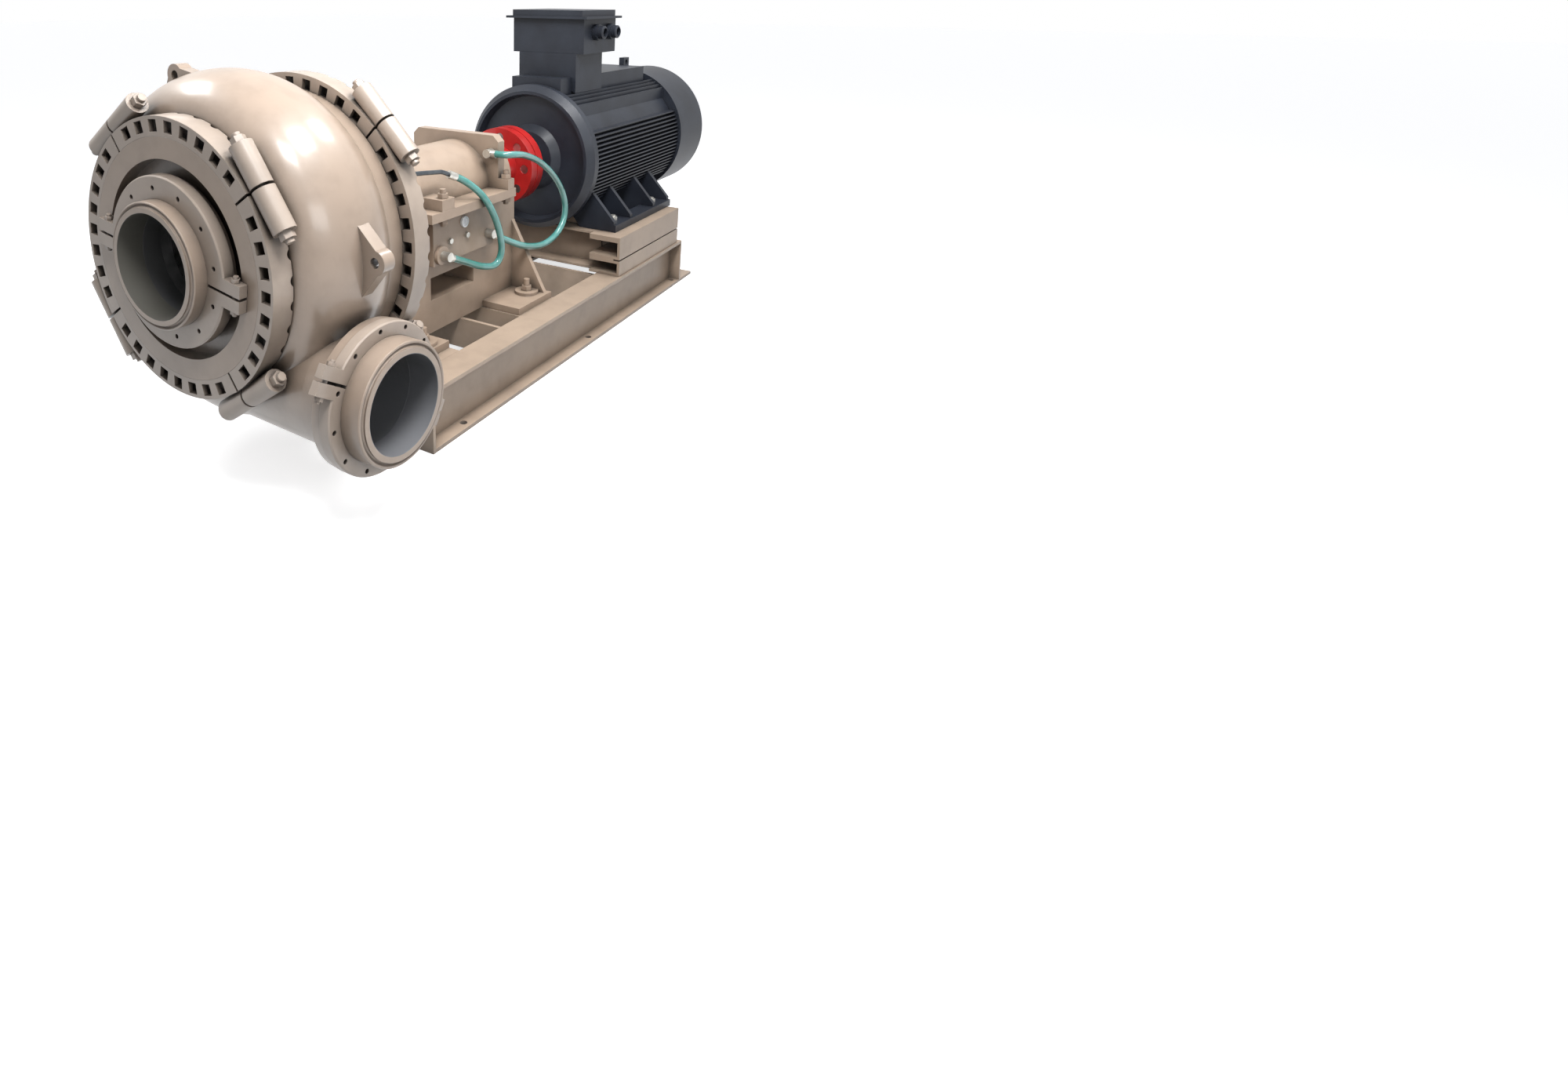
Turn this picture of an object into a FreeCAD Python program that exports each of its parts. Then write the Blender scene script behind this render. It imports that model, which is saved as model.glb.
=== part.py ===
import FreeCAD, Part
import math
import os
import re

import Sketcher
from FreeCAD import Placement, Rotation, Vector

# Horizontal gravel and slurry pump with its motor on a skid, millimetres, +Z up.
# X runs towards the discharge, Y along the shaft from the suction to the motor. The origin is the
# centre of the skid's anchor holes on its underside, straight below the shaft.

os.makedirs("parts", exist_ok=True)
doc = FreeCAD.newDocument("slurry_pump")
sheet = doc.addObject("Spreadsheet::Sheet", "Sheet")

SIZES = {
    # main places: shaft above the floor, face of the front clamp ring along the shaft
    "shaft_height": 712, "wet_y": -1635, "seat_gap": 0.3, "running_gap": 0.05,
    # skid beams, rolled I sections with anchor holes in the bottom flange
    "beam_height": 220, "beam_flange": 120, "flange_wall": 14, "beam_web": 10, "beam_x": 404,
    "anchor_pitch": 890, "anchor_offset": 30, "anchor_hole": 13, "front_overhang": 200,
    "rear_overhang": 40, "toe_length": 150, "end_plate": 12,
    # cross members between the beams
    "cross_wall": 14, "cross_depth": 120, "front_cross_y": -930, "front_cross_width": 140,
    "stay_y": -545, "stay_wall": 15, "foot_cross_y": -405, "foot_cross_width": 255,
    "bulkhead_y": 236, "tail_cross_y": 845, "tail_cross_width": 70,
    # front clamp ring: a U band in segments, with square windows in its front lip
    "front_ring": 402, "front_lip": 346, "front_segments": 4, "front_places": 9,
    "front_split": 35, "front_window": 375, "front_bolt": 428,
    # rear clamp ring, the larger one
    "rear_at": 456, "rear_ring": 484, "rear_lip": 424, "rear_segments": 4, "rear_places": 10,
    "rear_split": 45, "rear_window": 454, "rear_bolt": 503,
    # both clamp rings
    "ring_width": 67, "band_wall": 10, "lip_wall": 13, "window_size": 34, "split_gap": 8,
    "lug_radius": 32, "lug_length": 122, "lug_at": 34, "clamp_bolt": 12, "scallop": 17,
    # volute casing
    "bowl_start": 488, "bowl_growth": 57, "bowl_wall": 26, "bowl_middle": 250, "bowl_rear": 400, "rear_neck_wall": 16, "tongue_angle": -25,
    "front_opening": 340, "rear_opening": 415, "cavity_front": 95, "cavity_rear": 410,
    "casing_lug": 563, "casing_lug_wall": 42, "casing_lug_hole": 15,
    # discharge nozzle, its loose pipe and the joint
    "discharge_bore": 140, "discharge_wall": 36, "discharge_at": 233, "discharge_drop": 356,
    "nozzle_end": 522, "nozzle_root": 40, "nozzle_drop": 382,
    "nozzle_straight": 110, "nozzle_across": 168, "nozzle_tall": 152, "discharge_mouth": 625,
    # suction side
    "suction_bore": 150, "suction_wall": 30, "mouth_reach": 70, "recess_radius": 285,
    "recess_depth": 45, "lip_step": 5,
    # split joint rings that hold both pipes
    "joint_thick": 35, "suction_joint": 245, "suction_joint_at": -26, "suction_circle": 210,
    "discharge_joint": 217, "discharge_circle": 199, "joint_bolts": 12, "joint_hole": 7,
    "collar_step": 12, "collar_wall": 15, "joint_lug": 60, "joint_lug_thick": 25, "joint_lug_width": 40,
    "suction_split": -9, "suction_first": 15, "discharge_split": 148, "discharge_first": 6,
    "joint_bolt": 7,
    # wear parts and impeller
    "bush_radius": 250, "bush_wall": 38, "impeller_radius": 335, "shroud_wall": 26,
    "shroud_gap": 12, "vanes": 3, "vane_wall": 28, "hub_radius": 92, "hub_nose": 150,
    # shaft and seal
    "shaft_radius": 65, "impeller_bore": 48, "sleeve_wall": 14, "sleeve_end": 700, "box_at": 476,
    "box_flange_wall": 22, "box_end": 625, "box_radius": 140, "box_neck": 120, "chamber": 101,
    "chamber_floor": 436, "packing_ring": 30, "packing_rings": 4, "box_flange": 200,
    "box_screws": 8, "box_screw": 6, "box_screw_circle": 182, "recess_room": 30, "lantern_width": 24, "gland_flange": 24, "gland_nose": 30,
    "gland_radius_out": 128, "gland_stud": 6, "gland_circle": 112, "cover_back": 512,
    # pedestal casting
    "flange_radius": 396, "flange_bore": 300, "pedestal_flange": 30, "flange_bolt_circle": 350,
    "flange_bolts": 12, "flange_bolt": 10, "screw_depth": 18, "cradle_half": 165, "base_top": 345, "window_top": 430,
    "cradle_top": 700, "base_at": 705, "window_at": 915, "window_length": 263, "wall_at": 1445,
    "end_wall": 20, "wall_foot": 325, "wall_head": 112, "wall_top": 630, "foot_half": 340,
    "foot_wall": 27, "foot_at": 1238, "foot_reach": 240, "front_foot_half": 300,
    "front_foot_length": 140, "foot_stud_x": 262, "foot_stud_at": 1412, "front_stud_at": 775,
    "foot_stud": 12, "foot_boss": 48, "boss_step": 12, "ledge_out": 255, "ledge_wall": 34, "ledge_at": 820, "ledge_length": 520,
    "arch_wall": 30, "arch_rise": 330, "arch_floor": 500, "arch_top": 900,
    # bearing assembly
    "housing_radius": 162, "housing_at": 875, "housing_length": 570, "bearing_bore": 112,
    "bearing_width": 80, "bearing_inset": 12, "race_wall": 16, "rollers": 12, "roller_radius": 7,
    "housing_cover": 32, "cover_radius": 139, "cover_screws": 6, "cover_screw": 6,
    "yoke_at": 1285, "yoke_wall": 42, "yoke_half": 208, "yoke_corner": 24, "yoke_top": 905,
    "housing_lug": 40, "housing_lug_at": 876, "housing_lug_length": 70, "hold_down": 11,
    "hold_down_x": 231,
    # oil chest on the discharge side of the pedestal, with its fittings
    "chest_out": 205, "chest_at": 885, "chest_length": 370, "chest_low": 488, "chest_high": 650,
    "boss_radius": 34, "boss_at": 922, "boss_height": 524, "boss_reach": 14, "sight_at": 1066,
    "sight_height": 617, "sight_radius": 21, "sight_reach": 8, "plug_radius": 11, "plug_at": 978,
    "plug_pitch": 100, "plug_height": 564, "hose_radius": 13.5, "pipe_radius": 8,
    "fitting_radius": 15, "fitting_reach": 25, "water_port_at": 585, "water_port_angle": 38,
    "oil_port_at": 1215, "oil_port_height": 538, "oil_top_height": 838,
    # coupling
    "coupling_radius": 165, "coupling_at": 1600, "coupling_wall": 42, "coupling_split": 6,
    "coupling_hub": 88, "coupling_length": 88, "coupling_pins": 8, "pin_circle": 125,
    "pin_radius": 11, "bush_radius_added": 8, "pump_journal": 55, "motor_journal": 48,
    # motor
    "motor_height": 315, "shield_at": 1826, "shield_front": 301, "shield_radius": 328,
    "shield_rim": 31, "shield_band": 34, "shield_recess": 40, "barrel_length": 926,
    "barrel_radius": 284, "barrel_wall": 16, "fin_reach": 315, "fin_wall": 6, "fin_pitch": 19,
    "side_fins": 18, "side_fin_low": -196, "top_fins": 4, "top_fin_first": 152,
    "deck_half": 128, "deck_top": 1068, "deck_length": 860, "eye_at": 2750, "eye_hole": 14,
    "cowl_length": 358, "cowl_wall": 3, "cowl_corner": 55, "grille_slots": 20,
    "grille_inner": 90, "grille_outer": 262, "slot_width": 14,
    "core_radius": 180, "core_length": 560, "air_gap": 1.5, "fan_radius": 250, "fan_blades": 9,
    "fan_width": 85, "fan_hub": 85, "motor_bearing": 52, "motor_bearing_width": 44,
    "motor_race": 43, "motor_shaft_radius": 62,
    # motor feet and the raised base under them
    "foot_out": 397, "foot_in": 215, "foot_thick": 32, "foot_length": 190, "front_foot": 1938,
    "rear_foot": 2359, "foot_rib": 22, "foot_bar": 80, "motor_bolt_x": 335, "motor_bolt": 12,
    "rail_out": 455, "rail_width": 150, "rail_at": 1868, "rail_length": 655, "rail_wall": 12,
    "rail_gap": 6, "rail_low": 70, "rail_groove": 30, "tie_at": 1905, "tie_width": 90,
    # terminal box on its turret
    "turret_at": 1985, "turret_length": 250, "turret_half": 150, "turret_top": 1172,
    "box_half": 185, "box_length": 305, "box_front": 1990, "box_top": 1325, "box_wall": 8,
    "lid_edge": 26, "lid_lip": 10, "lid_height": 37, "lid_crown": 182, "gland_height": 1265,
    "gland_radius": 36, "gland_reach": 52, "cable_bore": 20, "gland_pitch": 131,
    "gland_first": 2095,
}
for row, (alias, value) in enumerate(SIZES.items(), 1):
    sheet.set(f"A{row}", alias)
    sheet.set(f"B{row}", str(value))
    sheet.setAlias(f"B{row}", alias)
doc.recompute()

ANY_NAME = re.compile(r"[A-Za-z_]\w*")
ALONG = {"X": Rotation(Vector(0, 1, 0), 90), "Y": Rotation(Vector(1, 0, 0), -90), "Z": Rotation()}
TURN = {"X": Rotation(Vector(0, 0, 1), -90), "Y": Rotation(), "-X": Rotation(Vector(0, 0, 1), 90)}
NODES = []


# ---------------------------------------------------------------- shared ways of making a piece
def formula(text):
    """The text with each size's name pointed at its cell."""
    return ANY_NAME.sub(lambda m: "Sheet." + m[0] if m[0] in SIZES else m[0], str(text))


def number(text):
    """The present value of a formula."""
    value = sheet.evalExpression(formula(text))
    return float(getattr(value, "Value", value))


def place(thing, x, y, z, turn=None):
    """Bind the place of an object to formulas."""
    if turn is not None:
        thing.Placement = Placement(Vector(), turn)
    for axis, text in zip("xyz", (x, y, z)):
        thing.setExpression(f"Placement.Base.{axis}", formula(text))
    return thing


def box(name, low, size):
    """A block from its lowest corner and its three lengths."""
    block = doc.addObject("Part::Box", name)
    for side, text in zip(("Length", "Width", "Height"), size):
        block.setExpression(side, formula(text))
    return place(block, *low)


def cylinder(name, radius, length, x, y, z, axis):
    """A round bar that starts at a point and runs along a row axis."""
    bar = doc.addObject("Part::Cylinder", name)
    bar.setExpression("Radius", formula(radius))
    bar.setExpression("Height", formula(length))
    return place(bar, x, y, z, ALONG[axis])


def hexagon(name, radius, length, x, y, z, axis):
    """A nut or a bolt head."""
    nut = doc.addObject("Part::Prism", name)
    nut.Polygon = 6
    nut.setExpression("Circumradius", formula(radius))
    nut.setExpression("Height", formula(length))
    return place(nut, x, y, z, ALONG[axis])


def sketch_on(body, role, outline):
    """A closed sketch whose corners are formulas measured from the body's origin."""
    sketch = body.newObject("Sketcher::SketchObject", body.Name + "_outline")
    plane = [p for p in body.Origin.OriginFeatures if p.Role == role][0]
    sketch.AttachmentSupport = [(plane, "")]
    sketch.MapMode = "FlatFace"
    corners = [(number(a), number(b)) for a, b in outline]
    count = len(corners)
    for i, (a, b) in enumerate(corners):
        c, d = corners[(i + 1) % count]
        sketch.addGeometry(Part.LineSegment(Vector(a, b, 0), Vector(c, d, 0)))
    for i in range(count):
        sketch.addConstraint(Sketcher.Constraint("Coincident", i, 2, (i + 1) % count, 1))
    for i, corner in enumerate(outline):
        for kind, text in zip(("DistanceX", "DistanceY"), corner):
            place_of = sketch.addConstraint(Sketcher.Constraint(kind, -1, 1, i, 1, number(text)))
            sketch.setExpression(f"Constraints[{place_of}]", formula(text))
    return sketch


def turned(name, outline, x="0", y="wet_y", z="shaft_height", axis="Y"):
    """A turned piece: its outline is (distance along the axis, radius)."""
    body = doc.addObject("PartDesign::Body", name)
    sketch = sketch_on(body, "YZ_Plane", outline)
    turn = body.newObject("PartDesign::Revolution", name + "_turn")
    turn.Profile = sketch
    turn.ReferenceAxis = (sketch, ["H_Axis"])
    turn.Angle = 360
    body.Tip = turn
    return place(body, x, y, z, TURN[axis])


def plate(name, role, outline, length, x="0", y="0", z="0"):
    """A plate or bar cut to an outline. XZ outlines run along +Y, YZ along +X, XY along +Z."""
    body = doc.addObject("PartDesign::Body", name)
    sketch = sketch_on(body, role, outline)
    pad = body.newObject("PartDesign::Pad", name + "_pad")
    pad.Profile = sketch
    pad.Reversed = role == "XZ_Plane"
    pad.setExpression("Length", formula(length))
    body.Tip = pad
    return place(body, x, y, z)


def joined(name, pieces):
    """One solid of several."""
    union = doc.addObject("Part::MultiFuse", name)
    union.Shapes = pieces
    return union


def group(name, pieces):
    """Several separate solids in one node."""
    set_of = doc.addObject("Part::Compound", name)
    set_of.Links = pieces
    return set_of


def cut(name, base, tools):
    """A piece with material taken away."""
    tool = tools[0] if len(tools) == 1 else joined(name + "_tools", tools)
    result = doc.addObject("Part::Cut", name)
    result.Base = base
    result.Tool = tool
    return result


def feature(name, shape):
    """A piece whose form no feature covers."""
    made = doc.addObject("Part::Feature", name)
    made.Shape = shape
    return made


def node(label, thing):
    """Name a finished piece."""
    thing.Label = label
    NODES.append(thing)
    return thing


def shaft_y(text):
    """A place along the shaft, measured from the front clamp ring's face."""
    return f"wet_y + {text}"


# ------------------------------------------------------------------------------------- the skid
def beam(label, side):
    """An I beam with closed ends, a bottom flange that runs on behind, and anchor holes."""
    half, web, top = "beam_flange / 2", "beam_web / 2", "beam_height"
    low, high = "flange_wall", "beam_height - flange_wall"
    outline = [(f"-{half}", 0), (half, 0), (half, low), (web, low), (web, high), (half, high),
               (half, top), (f"-{half}", top), (f"-{half}", high), (f"-{web}", high),
               (f"-{web}", low), (f"-{half}", low)]
    front, length = "-anchor_pitch - front_overhang", "2 * anchor_pitch + front_overhang + rear_overhang"
    x = f"{side} * beam_x"
    section = plate(label + "_section", "XZ_Plane", outline, length, x, front)
    parts = [section]
    for where, y in (("front", front), ("rear", "anchor_pitch + rear_overhang - end_plate")):
        parts.append(box(f"{label}_{where}_plate", (f"{x} - {half}", y, 0),
                         ("beam_flange", "end_plate", "beam_height")))
    parts.append(box(label + "_toe", (f"{x} - {half}", "anchor_pitch + rear_overhang - end_plate", 0),
                     ("beam_flange", "toe_length + end_plate", "flange_wall")))
    holes = [cylinder(f"{label}_hole_{i}", "anchor_hole", "flange_wall", f"{side} * (beam_x + anchor_offset)",
                      f"{i - 1} * anchor_pitch", 0, "Z") for i in range(3)]
    return node(label, cut(label, joined(label + "_welded", parts), holes))


def channel(name, y, width):
    """A pressed channel, open below, that lies between the two beams."""
    reach = "(beam_x - beam_flange / 2 - seat_gap)"
    outline = [(0, 0), (width, 0), (width, "-cross_depth"), (f"{width} - cross_wall", "-cross_depth"),
               (f"{width} - cross_wall", "-cross_wall"), ("cross_wall", "-cross_wall"),
               ("cross_wall", "-cross_depth"), (0, "-cross_depth")]
    return plate(name, "YZ_Plane", outline, f"2 * {reach}", f"-{reach}", y, "beam_height")


def cross_members():
    """The members that tie the beams and carry the pedestal."""
    reach = "(beam_x - beam_flange / 2 - seat_gap)"
    stay = box("stay", (f"-{reach}", "stay_y", "beam_height - cross_depth"),
               (f"2 * {reach}", "stay_wall", "cross_depth"))
    drilled = []
    for row in ("front", "rear"):
        holes = [cylinder(f"cross_hole_{name}", "foot_stud + 1", "cross_wall", x, y, "beam_height - cross_wall", "Z")
                 for x, y, name in stud_places() if row in name]
        bar = "front_cross" if row == "front" else "foot_cross"
        drilled.append(cut(bar, channel(bar + "_bar", bar + "_y", bar + "_width"), holes))
    web = "(beam_x - beam_web / 2 - seat_gap)"
    bulkhead = box("bulkhead", (f"-{web}", "bulkhead_y", "flange_wall + seat_gap"),
                   (f"2 * {web}", "cross_wall", "beam_height - 2 * flange_wall - 2 * seat_gap"))
    members = drilled + [stay, bulkhead, channel("tail_cross", "tail_cross_y", "tail_cross_width")]
    node("cross_members", group("cross_members", members))


def motor_base():
    """Two channel rails on the beams and two ties, welded up to lift the motor to the shaft."""
    top = "shaft_height - motor_height"
    height = f"({top} - beam_height)"
    rails = []
    for side, name in ((1, "right_rail"), (-1, "left_rail")):
        out, width = "rail_out", "rail_width"
        inner, web, low, upper = f"{out} - {width}", f"{out} - rail_wall", "rail_low", "rail_low + rail_gap"
        outline = [(out, 0), (out, low), (f"{out} - rail_groove", low), (f"{out} - rail_groove", upper),
                   (out, upper), (out, height), (inner, height), (inner, f"{height} - 2 * rail_wall"),
                   (web, f"{height} - 2 * rail_wall"), (web, f"{upper} + rail_wall"),
                   (inner, f"{upper} + rail_wall"), (inner, f"{low} - rail_wall"),
                   (web, f"{low} - rail_wall"), (web, "rail_wall"), (inner, "rail_wall"), (inner, 0)]
        if side < 0:
            outline = [(f"-({a})", b) for a, b in outline]
        bar = plate(name + "_bar", "XZ_Plane", outline, "rail_length", 0, shaft_y("rail_at"), "beam_height")
        holes = [cylinder(f"{name}_hole_{i}", "motor_bolt + 1", "4 * rail_wall", f"{side} * motor_bolt_x",
                          shaft_y(f"{foot} + foot_length / 2"), f"{top} - 3 * rail_wall", "Z")
                 for i, foot in enumerate(("front_foot", "rear_foot"))]
        rails.append(cut(name, bar, holes))
    reach, inner = "(rail_out - rail_width)", f"({height} - rail_wall)"
    outline = [(0, 0), ("tie_width", 0), ("tie_width", height), (0, height), (0, inner),
               ("tie_width - rail_wall", inner), ("tie_width - rail_wall", "rail_wall"), (0, "rail_wall")]
    spots = (("front_tie", "tie_at"), ("rear_tie", "rail_at + rail_length - tie_width - (tie_at - rail_at)"))
    ties = [plate(name, "YZ_Plane", outline, f"2 * {reach}", f"-{reach}", shaft_y(y), "beam_height")
            for name, y in spots]
    node("motor_base", joined("motor_base", rails + ties))


# ------------------------------------------------------------------------------ the clamp rings
def around(angle, radius, y):
    """A point at an angle round the shaft, seen from the suction side, +X is zero."""
    turn = math.radians(angle)
    return Vector(radius * math.cos(turn), y, number("shaft_height") + radius * math.sin(turn))


def spun(piece, angle):
    """A shape turned round the shaft, seen from the suction side."""
    copy = piece.copy()
    copy.rotate(Vector(0, 0, number("shaft_height")), Vector(0, 1, 0), -angle)
    return copy


def ring_of(outline, start, sweep, base):
    """A revolved section, (along, radius) corners, through part of a turn."""
    corners = [Vector(r, base + a, number("shaft_height")) for a, r in outline]
    face = Part.Face(Part.makePolygon(corners + corners[:1]))
    arc = face.revolve(Vector(0, 0, number("shaft_height")), Vector(0, 1, 0), -sweep)
    return spun(arc, start)


def clamp_ring(label, face_at, ring, front_lip, rear_lip, window_circle, bolt, segments, places, split):
    """U section segments with windows in the front lip, a scalloped rear edge and tubular lugs."""
    y = number(shaft_y(face_at))
    outer, band, lip = number(ring), number("band_wall"), number("lip_wall")
    width, window, gap = number("ring_width"), number("window_size"), number("split_gap")
    count, per = int(number(segments)), int(number(places))
    pitch = 360.0 / (count * per)
    section = [(0, number(front_lip)), (0, outer), (width, outer), (width, number(rear_lip)),
               (width - lip, number(rear_lip)), (width - lip, outer - band), (lip, outer - band),
               (lip, number(front_lip))]
    distance, along = number(bolt), y + number("lug_at")
    lug_radius, lug_length, hole = number("lug_radius"), number("lug_length"), number("clamp_bolt")
    pieces = []
    for segment in range(count):
        start = number(split) + segment * per * pitch
        half_gap = math.degrees(gap / 2 / outer)
        arc = ring_of(section, start + half_gap, per * pitch - 2 * half_gap, y)
        lugs = []
        for end, side in ((start, 1), (start + per * pitch, -1)):
            tangent = Vector(-math.sin(math.radians(end)), 0, math.cos(math.radians(end))) * side
            middle = around(end, distance, along)
            tube = Part.makeCylinder(lug_radius, lug_length, middle + tangent * (gap / 2), tangent)
            inner = around(end, distance - lug_radius, along)
            web = Part.makeBox(2 * lug_radius, lug_length * 0.8, outer - distance + 2 * lug_radius)
            web.Placement = Placement(Vector(), Rotation(Vector(0, 1, 0), tangent,
                                                         inner - Vector(0, along, number("shaft_height"))))
            corner = web.Vertexes[0].Point
            web.translate(around(end, outer - band / 2, along) + tangent * (gap / 2) - corner)
            lugs += [tube]
        solid = arc.fuse(lugs)
        keep = Part.makeCylinder(outer - band, width, Vector(0, y, number("shaft_height")), Vector(0, 1, 0))
        solid = solid.cut(keep.cut(arc))
        solid = solid.fuse(arc).removeSplitter()
        tools = []
        for end, side in ((start, 1), (start + per * pitch, -1)):
            tangent = Vector(-math.sin(math.radians(end)), 0, math.cos(math.radians(end))) * side
            tools.append(Part.makeCylinder(hole + 1, lug_length + gap, around(end, distance, along), tangent))
        square = Part.makeBox(window, 2 * lip, window,
                              Vector(number(window_circle) - window / 2, y - lip / 2,
                                     number("shaft_height") - window / 2))
        notch = Part.makeCylinder(number("scallop"), 2 * band + 2,
                                  Vector(outer - 2 * band, y + width + number("scallop") / 2,
                                         number("shaft_height")), Vector(1, 0, 0))
        for k in range(1, per):
            tools.append(spun(square, start + k * pitch))
        for k in range(1, per - 1):
            tools.append(spun(notch, start + (k + 0.5) * pitch))
        solid = solid.cut(tools)
        pieces.append(solid.Solids[0])
    node(label, feature(label, Part.makeCompound(pieces)))


def clamp_bolts(label, face_at, bolt, segments, places, split):
    """A through bolt with a nut at each end in every pair of lugs."""
    along, distance = number(shaft_y(face_at)) + number("lug_at"), number(bolt)
    radius, reach = number("clamp_bolt"), number("lug_length") + number("split_gap") / 2
    count = int(number(segments))
    bolts = []
    for segment in range(count):
        angle = number(split) + segment * 360.0 / count
        tangent = Vector(-math.sin(math.radians(angle)), 0, math.cos(math.radians(angle)))
        middle = around(angle, distance, along)
        end = reach + 2.6 * radius
        shank = Part.makeCylinder(radius, 2 * end, middle - tangent * end, tangent)
        for side in (1, -1):
            base = middle + tangent * (side * reach)
            nut = nut_shape(1.75 * radius, 1.7 * radius, base, tangent * side)
            shank = shank.fuse(nut)
        bolts.append(shank)
    node(label, feature(label, Part.makeCompound(bolts)))


def nut_shape(radius, height, base, direction):
    """A hexagon prism on a base point."""
    corners = [Vector(radius * math.cos(math.radians(60 * i)), radius * math.sin(math.radians(60 * i)), 0)
               for i in range(6)]
    prism = Part.Face(Part.makePolygon(corners + corners[:1])).extrude(Vector(0, 0, height))
    prism.Placement = Placement(base, Rotation(Vector(0, 0, 1), direction))
    return prism


def clamp_rings():
    """The two rings and their bolts."""
    clamp_ring("front_clamp_ring", "0", "front_ring", "front_lip", "front_ring - 30", "front_window",
               "front_bolt", "front_segments", "front_places", "front_split")
    clamp_bolts("front_clamp_bolts", "0", "front_bolt", "front_segments", "front_places", "front_split")
    clamp_ring("rear_clamp_ring", "rear_at", "rear_ring", "rear_lip", "rear_ring - 34", "rear_window",
               "rear_bolt", "rear_segments", "rear_places", "rear_split")
    clamp_bolts("rear_clamp_bolts", "rear_at", "rear_bolt", "rear_segments", "rear_places", "rear_split")


# ------------------------------------------------------------------------------------ the volute
def bowl_radius(angle):
    """The bowl's radius grows from the tongue round to the bottom and closes behind the nozzle."""
    start, growth, tongue = number("bowl_start"), number("bowl_growth"), number("tongue_angle")
    turn = (angle - tongue) % 360
    full = 270 - tongue
    return start + growth * (turn / full if turn <= full else (360 - turn) / (360 - full))


def half_bowl(offset, front, rear, front_foot, rear_foot, inner, first):
    """Crowned sections lofted through half a turn round the shaft."""
    middle = number("bowl_middle")
    sections = []
    for step in range(9):
        angle = first + 22.5 * step
        crown = bowl_radius(angle) - offset
        points = []
        for i in range(9):
            turn = math.radians(180 - 22.5 * i)
            base = front_foot if i < 4 else rear_foot
            half = middle - front if i < 4 else rear - middle
            fullness = 0.8 if i < 4 else 1.1
            radius = base + (crown - base) * max(0, math.sin(turn)) ** fullness
            points.append(around(angle, radius, number("wet_y") + middle + half * math.cos(turn)))
        spline = Part.BSplineCurve()
        spline.interpolate(points)
        low_rear = around(angle, inner, number("wet_y") + rear)
        low_front = around(angle, inner, number("wet_y") + front)
        sections.append(Part.Wire([spline.toShape(), Part.makeLine(points[-1], low_rear),
                                   Part.makeLine(low_rear, low_front), Part.makeLine(low_front, points[0])]))
    return Part.makeLoft(sections, True, False)


def bowl(offset, front, rear, front_foot, rear_foot, inner):
    """The whole bowl, which starts and ends at the tongue."""
    halves = [half_bowl(offset, front, rear, front_foot, rear_foot, inner, number("tongue_angle") + turn)
              for turn in (0, 180)]
    return halves[0].fuse(halves[1])


def nozzle(across, tall, radius):
    """The discharge passage: an oval in the bottom of the bowl that runs out to a round end."""
    shaft, far = number("shaft_height"), number("nozzle_end")
    start = Vector(-number("nozzle_root"), number(shaft_y("bowl_middle")), shaft - number("nozzle_drop"))
    end = Vector(far, number(shaft_y("discharge_at")), shaft - number("discharge_drop"))
    neck = Vector(far - number("nozzle_straight"), end.y, end.z)
    sections = []
    for middle, wide, high in ((start, across, tall), (neck, radius + 0.01, radius), (end, radius + 0.01, radius)):
        oval = Part.Ellipse(Vector(), wide, high).toShape()
        oval.Placement = Placement(middle, Rotation(Vector(0, 1, 0), Vector(0, 0, 1), Vector(1, 0, 0), "XYZ"))
        sections.append(Part.Wire(oval))
    return Part.makeLoft(sections, True, True)


def casing_lug(angle):
    """A lifting ear with its eye, welded on the crown of the bowl."""
    reach, wall = number("casing_lug"), number("casing_lug_wall")
    base = bowl_radius(angle) - 3 * number("bowl_wall")
    round_end, y = 2.3 * number("casing_lug_hole"), number(shaft_y("bowl_middle")) - wall / 2
    shaft = number("shaft_height")
    outline = [Vector(base, y, shaft - 5 * round_end), Vector(reach - 20, y, shaft - round_end),
               Vector(reach - 20, y, shaft + round_end), Vector(base, y, shaft + 5 * round_end)]
    ear = Part.Face(Part.makePolygon(outline + outline[:1])).extrude(Vector(0, wall, 0))
    eye = Vector(reach - 20 - round_end * 0.2, y, shaft)
    ear = ear.fuse(Part.makeCylinder(round_end, wall, eye, Vector(0, 1, 0)))
    hole = Part.makeCylinder(number("casing_lug_hole"), wall + 2, eye - Vector(0, 1, 0), Vector(0, 1, 0))
    return spun(ear.cut(hole), angle)


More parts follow.
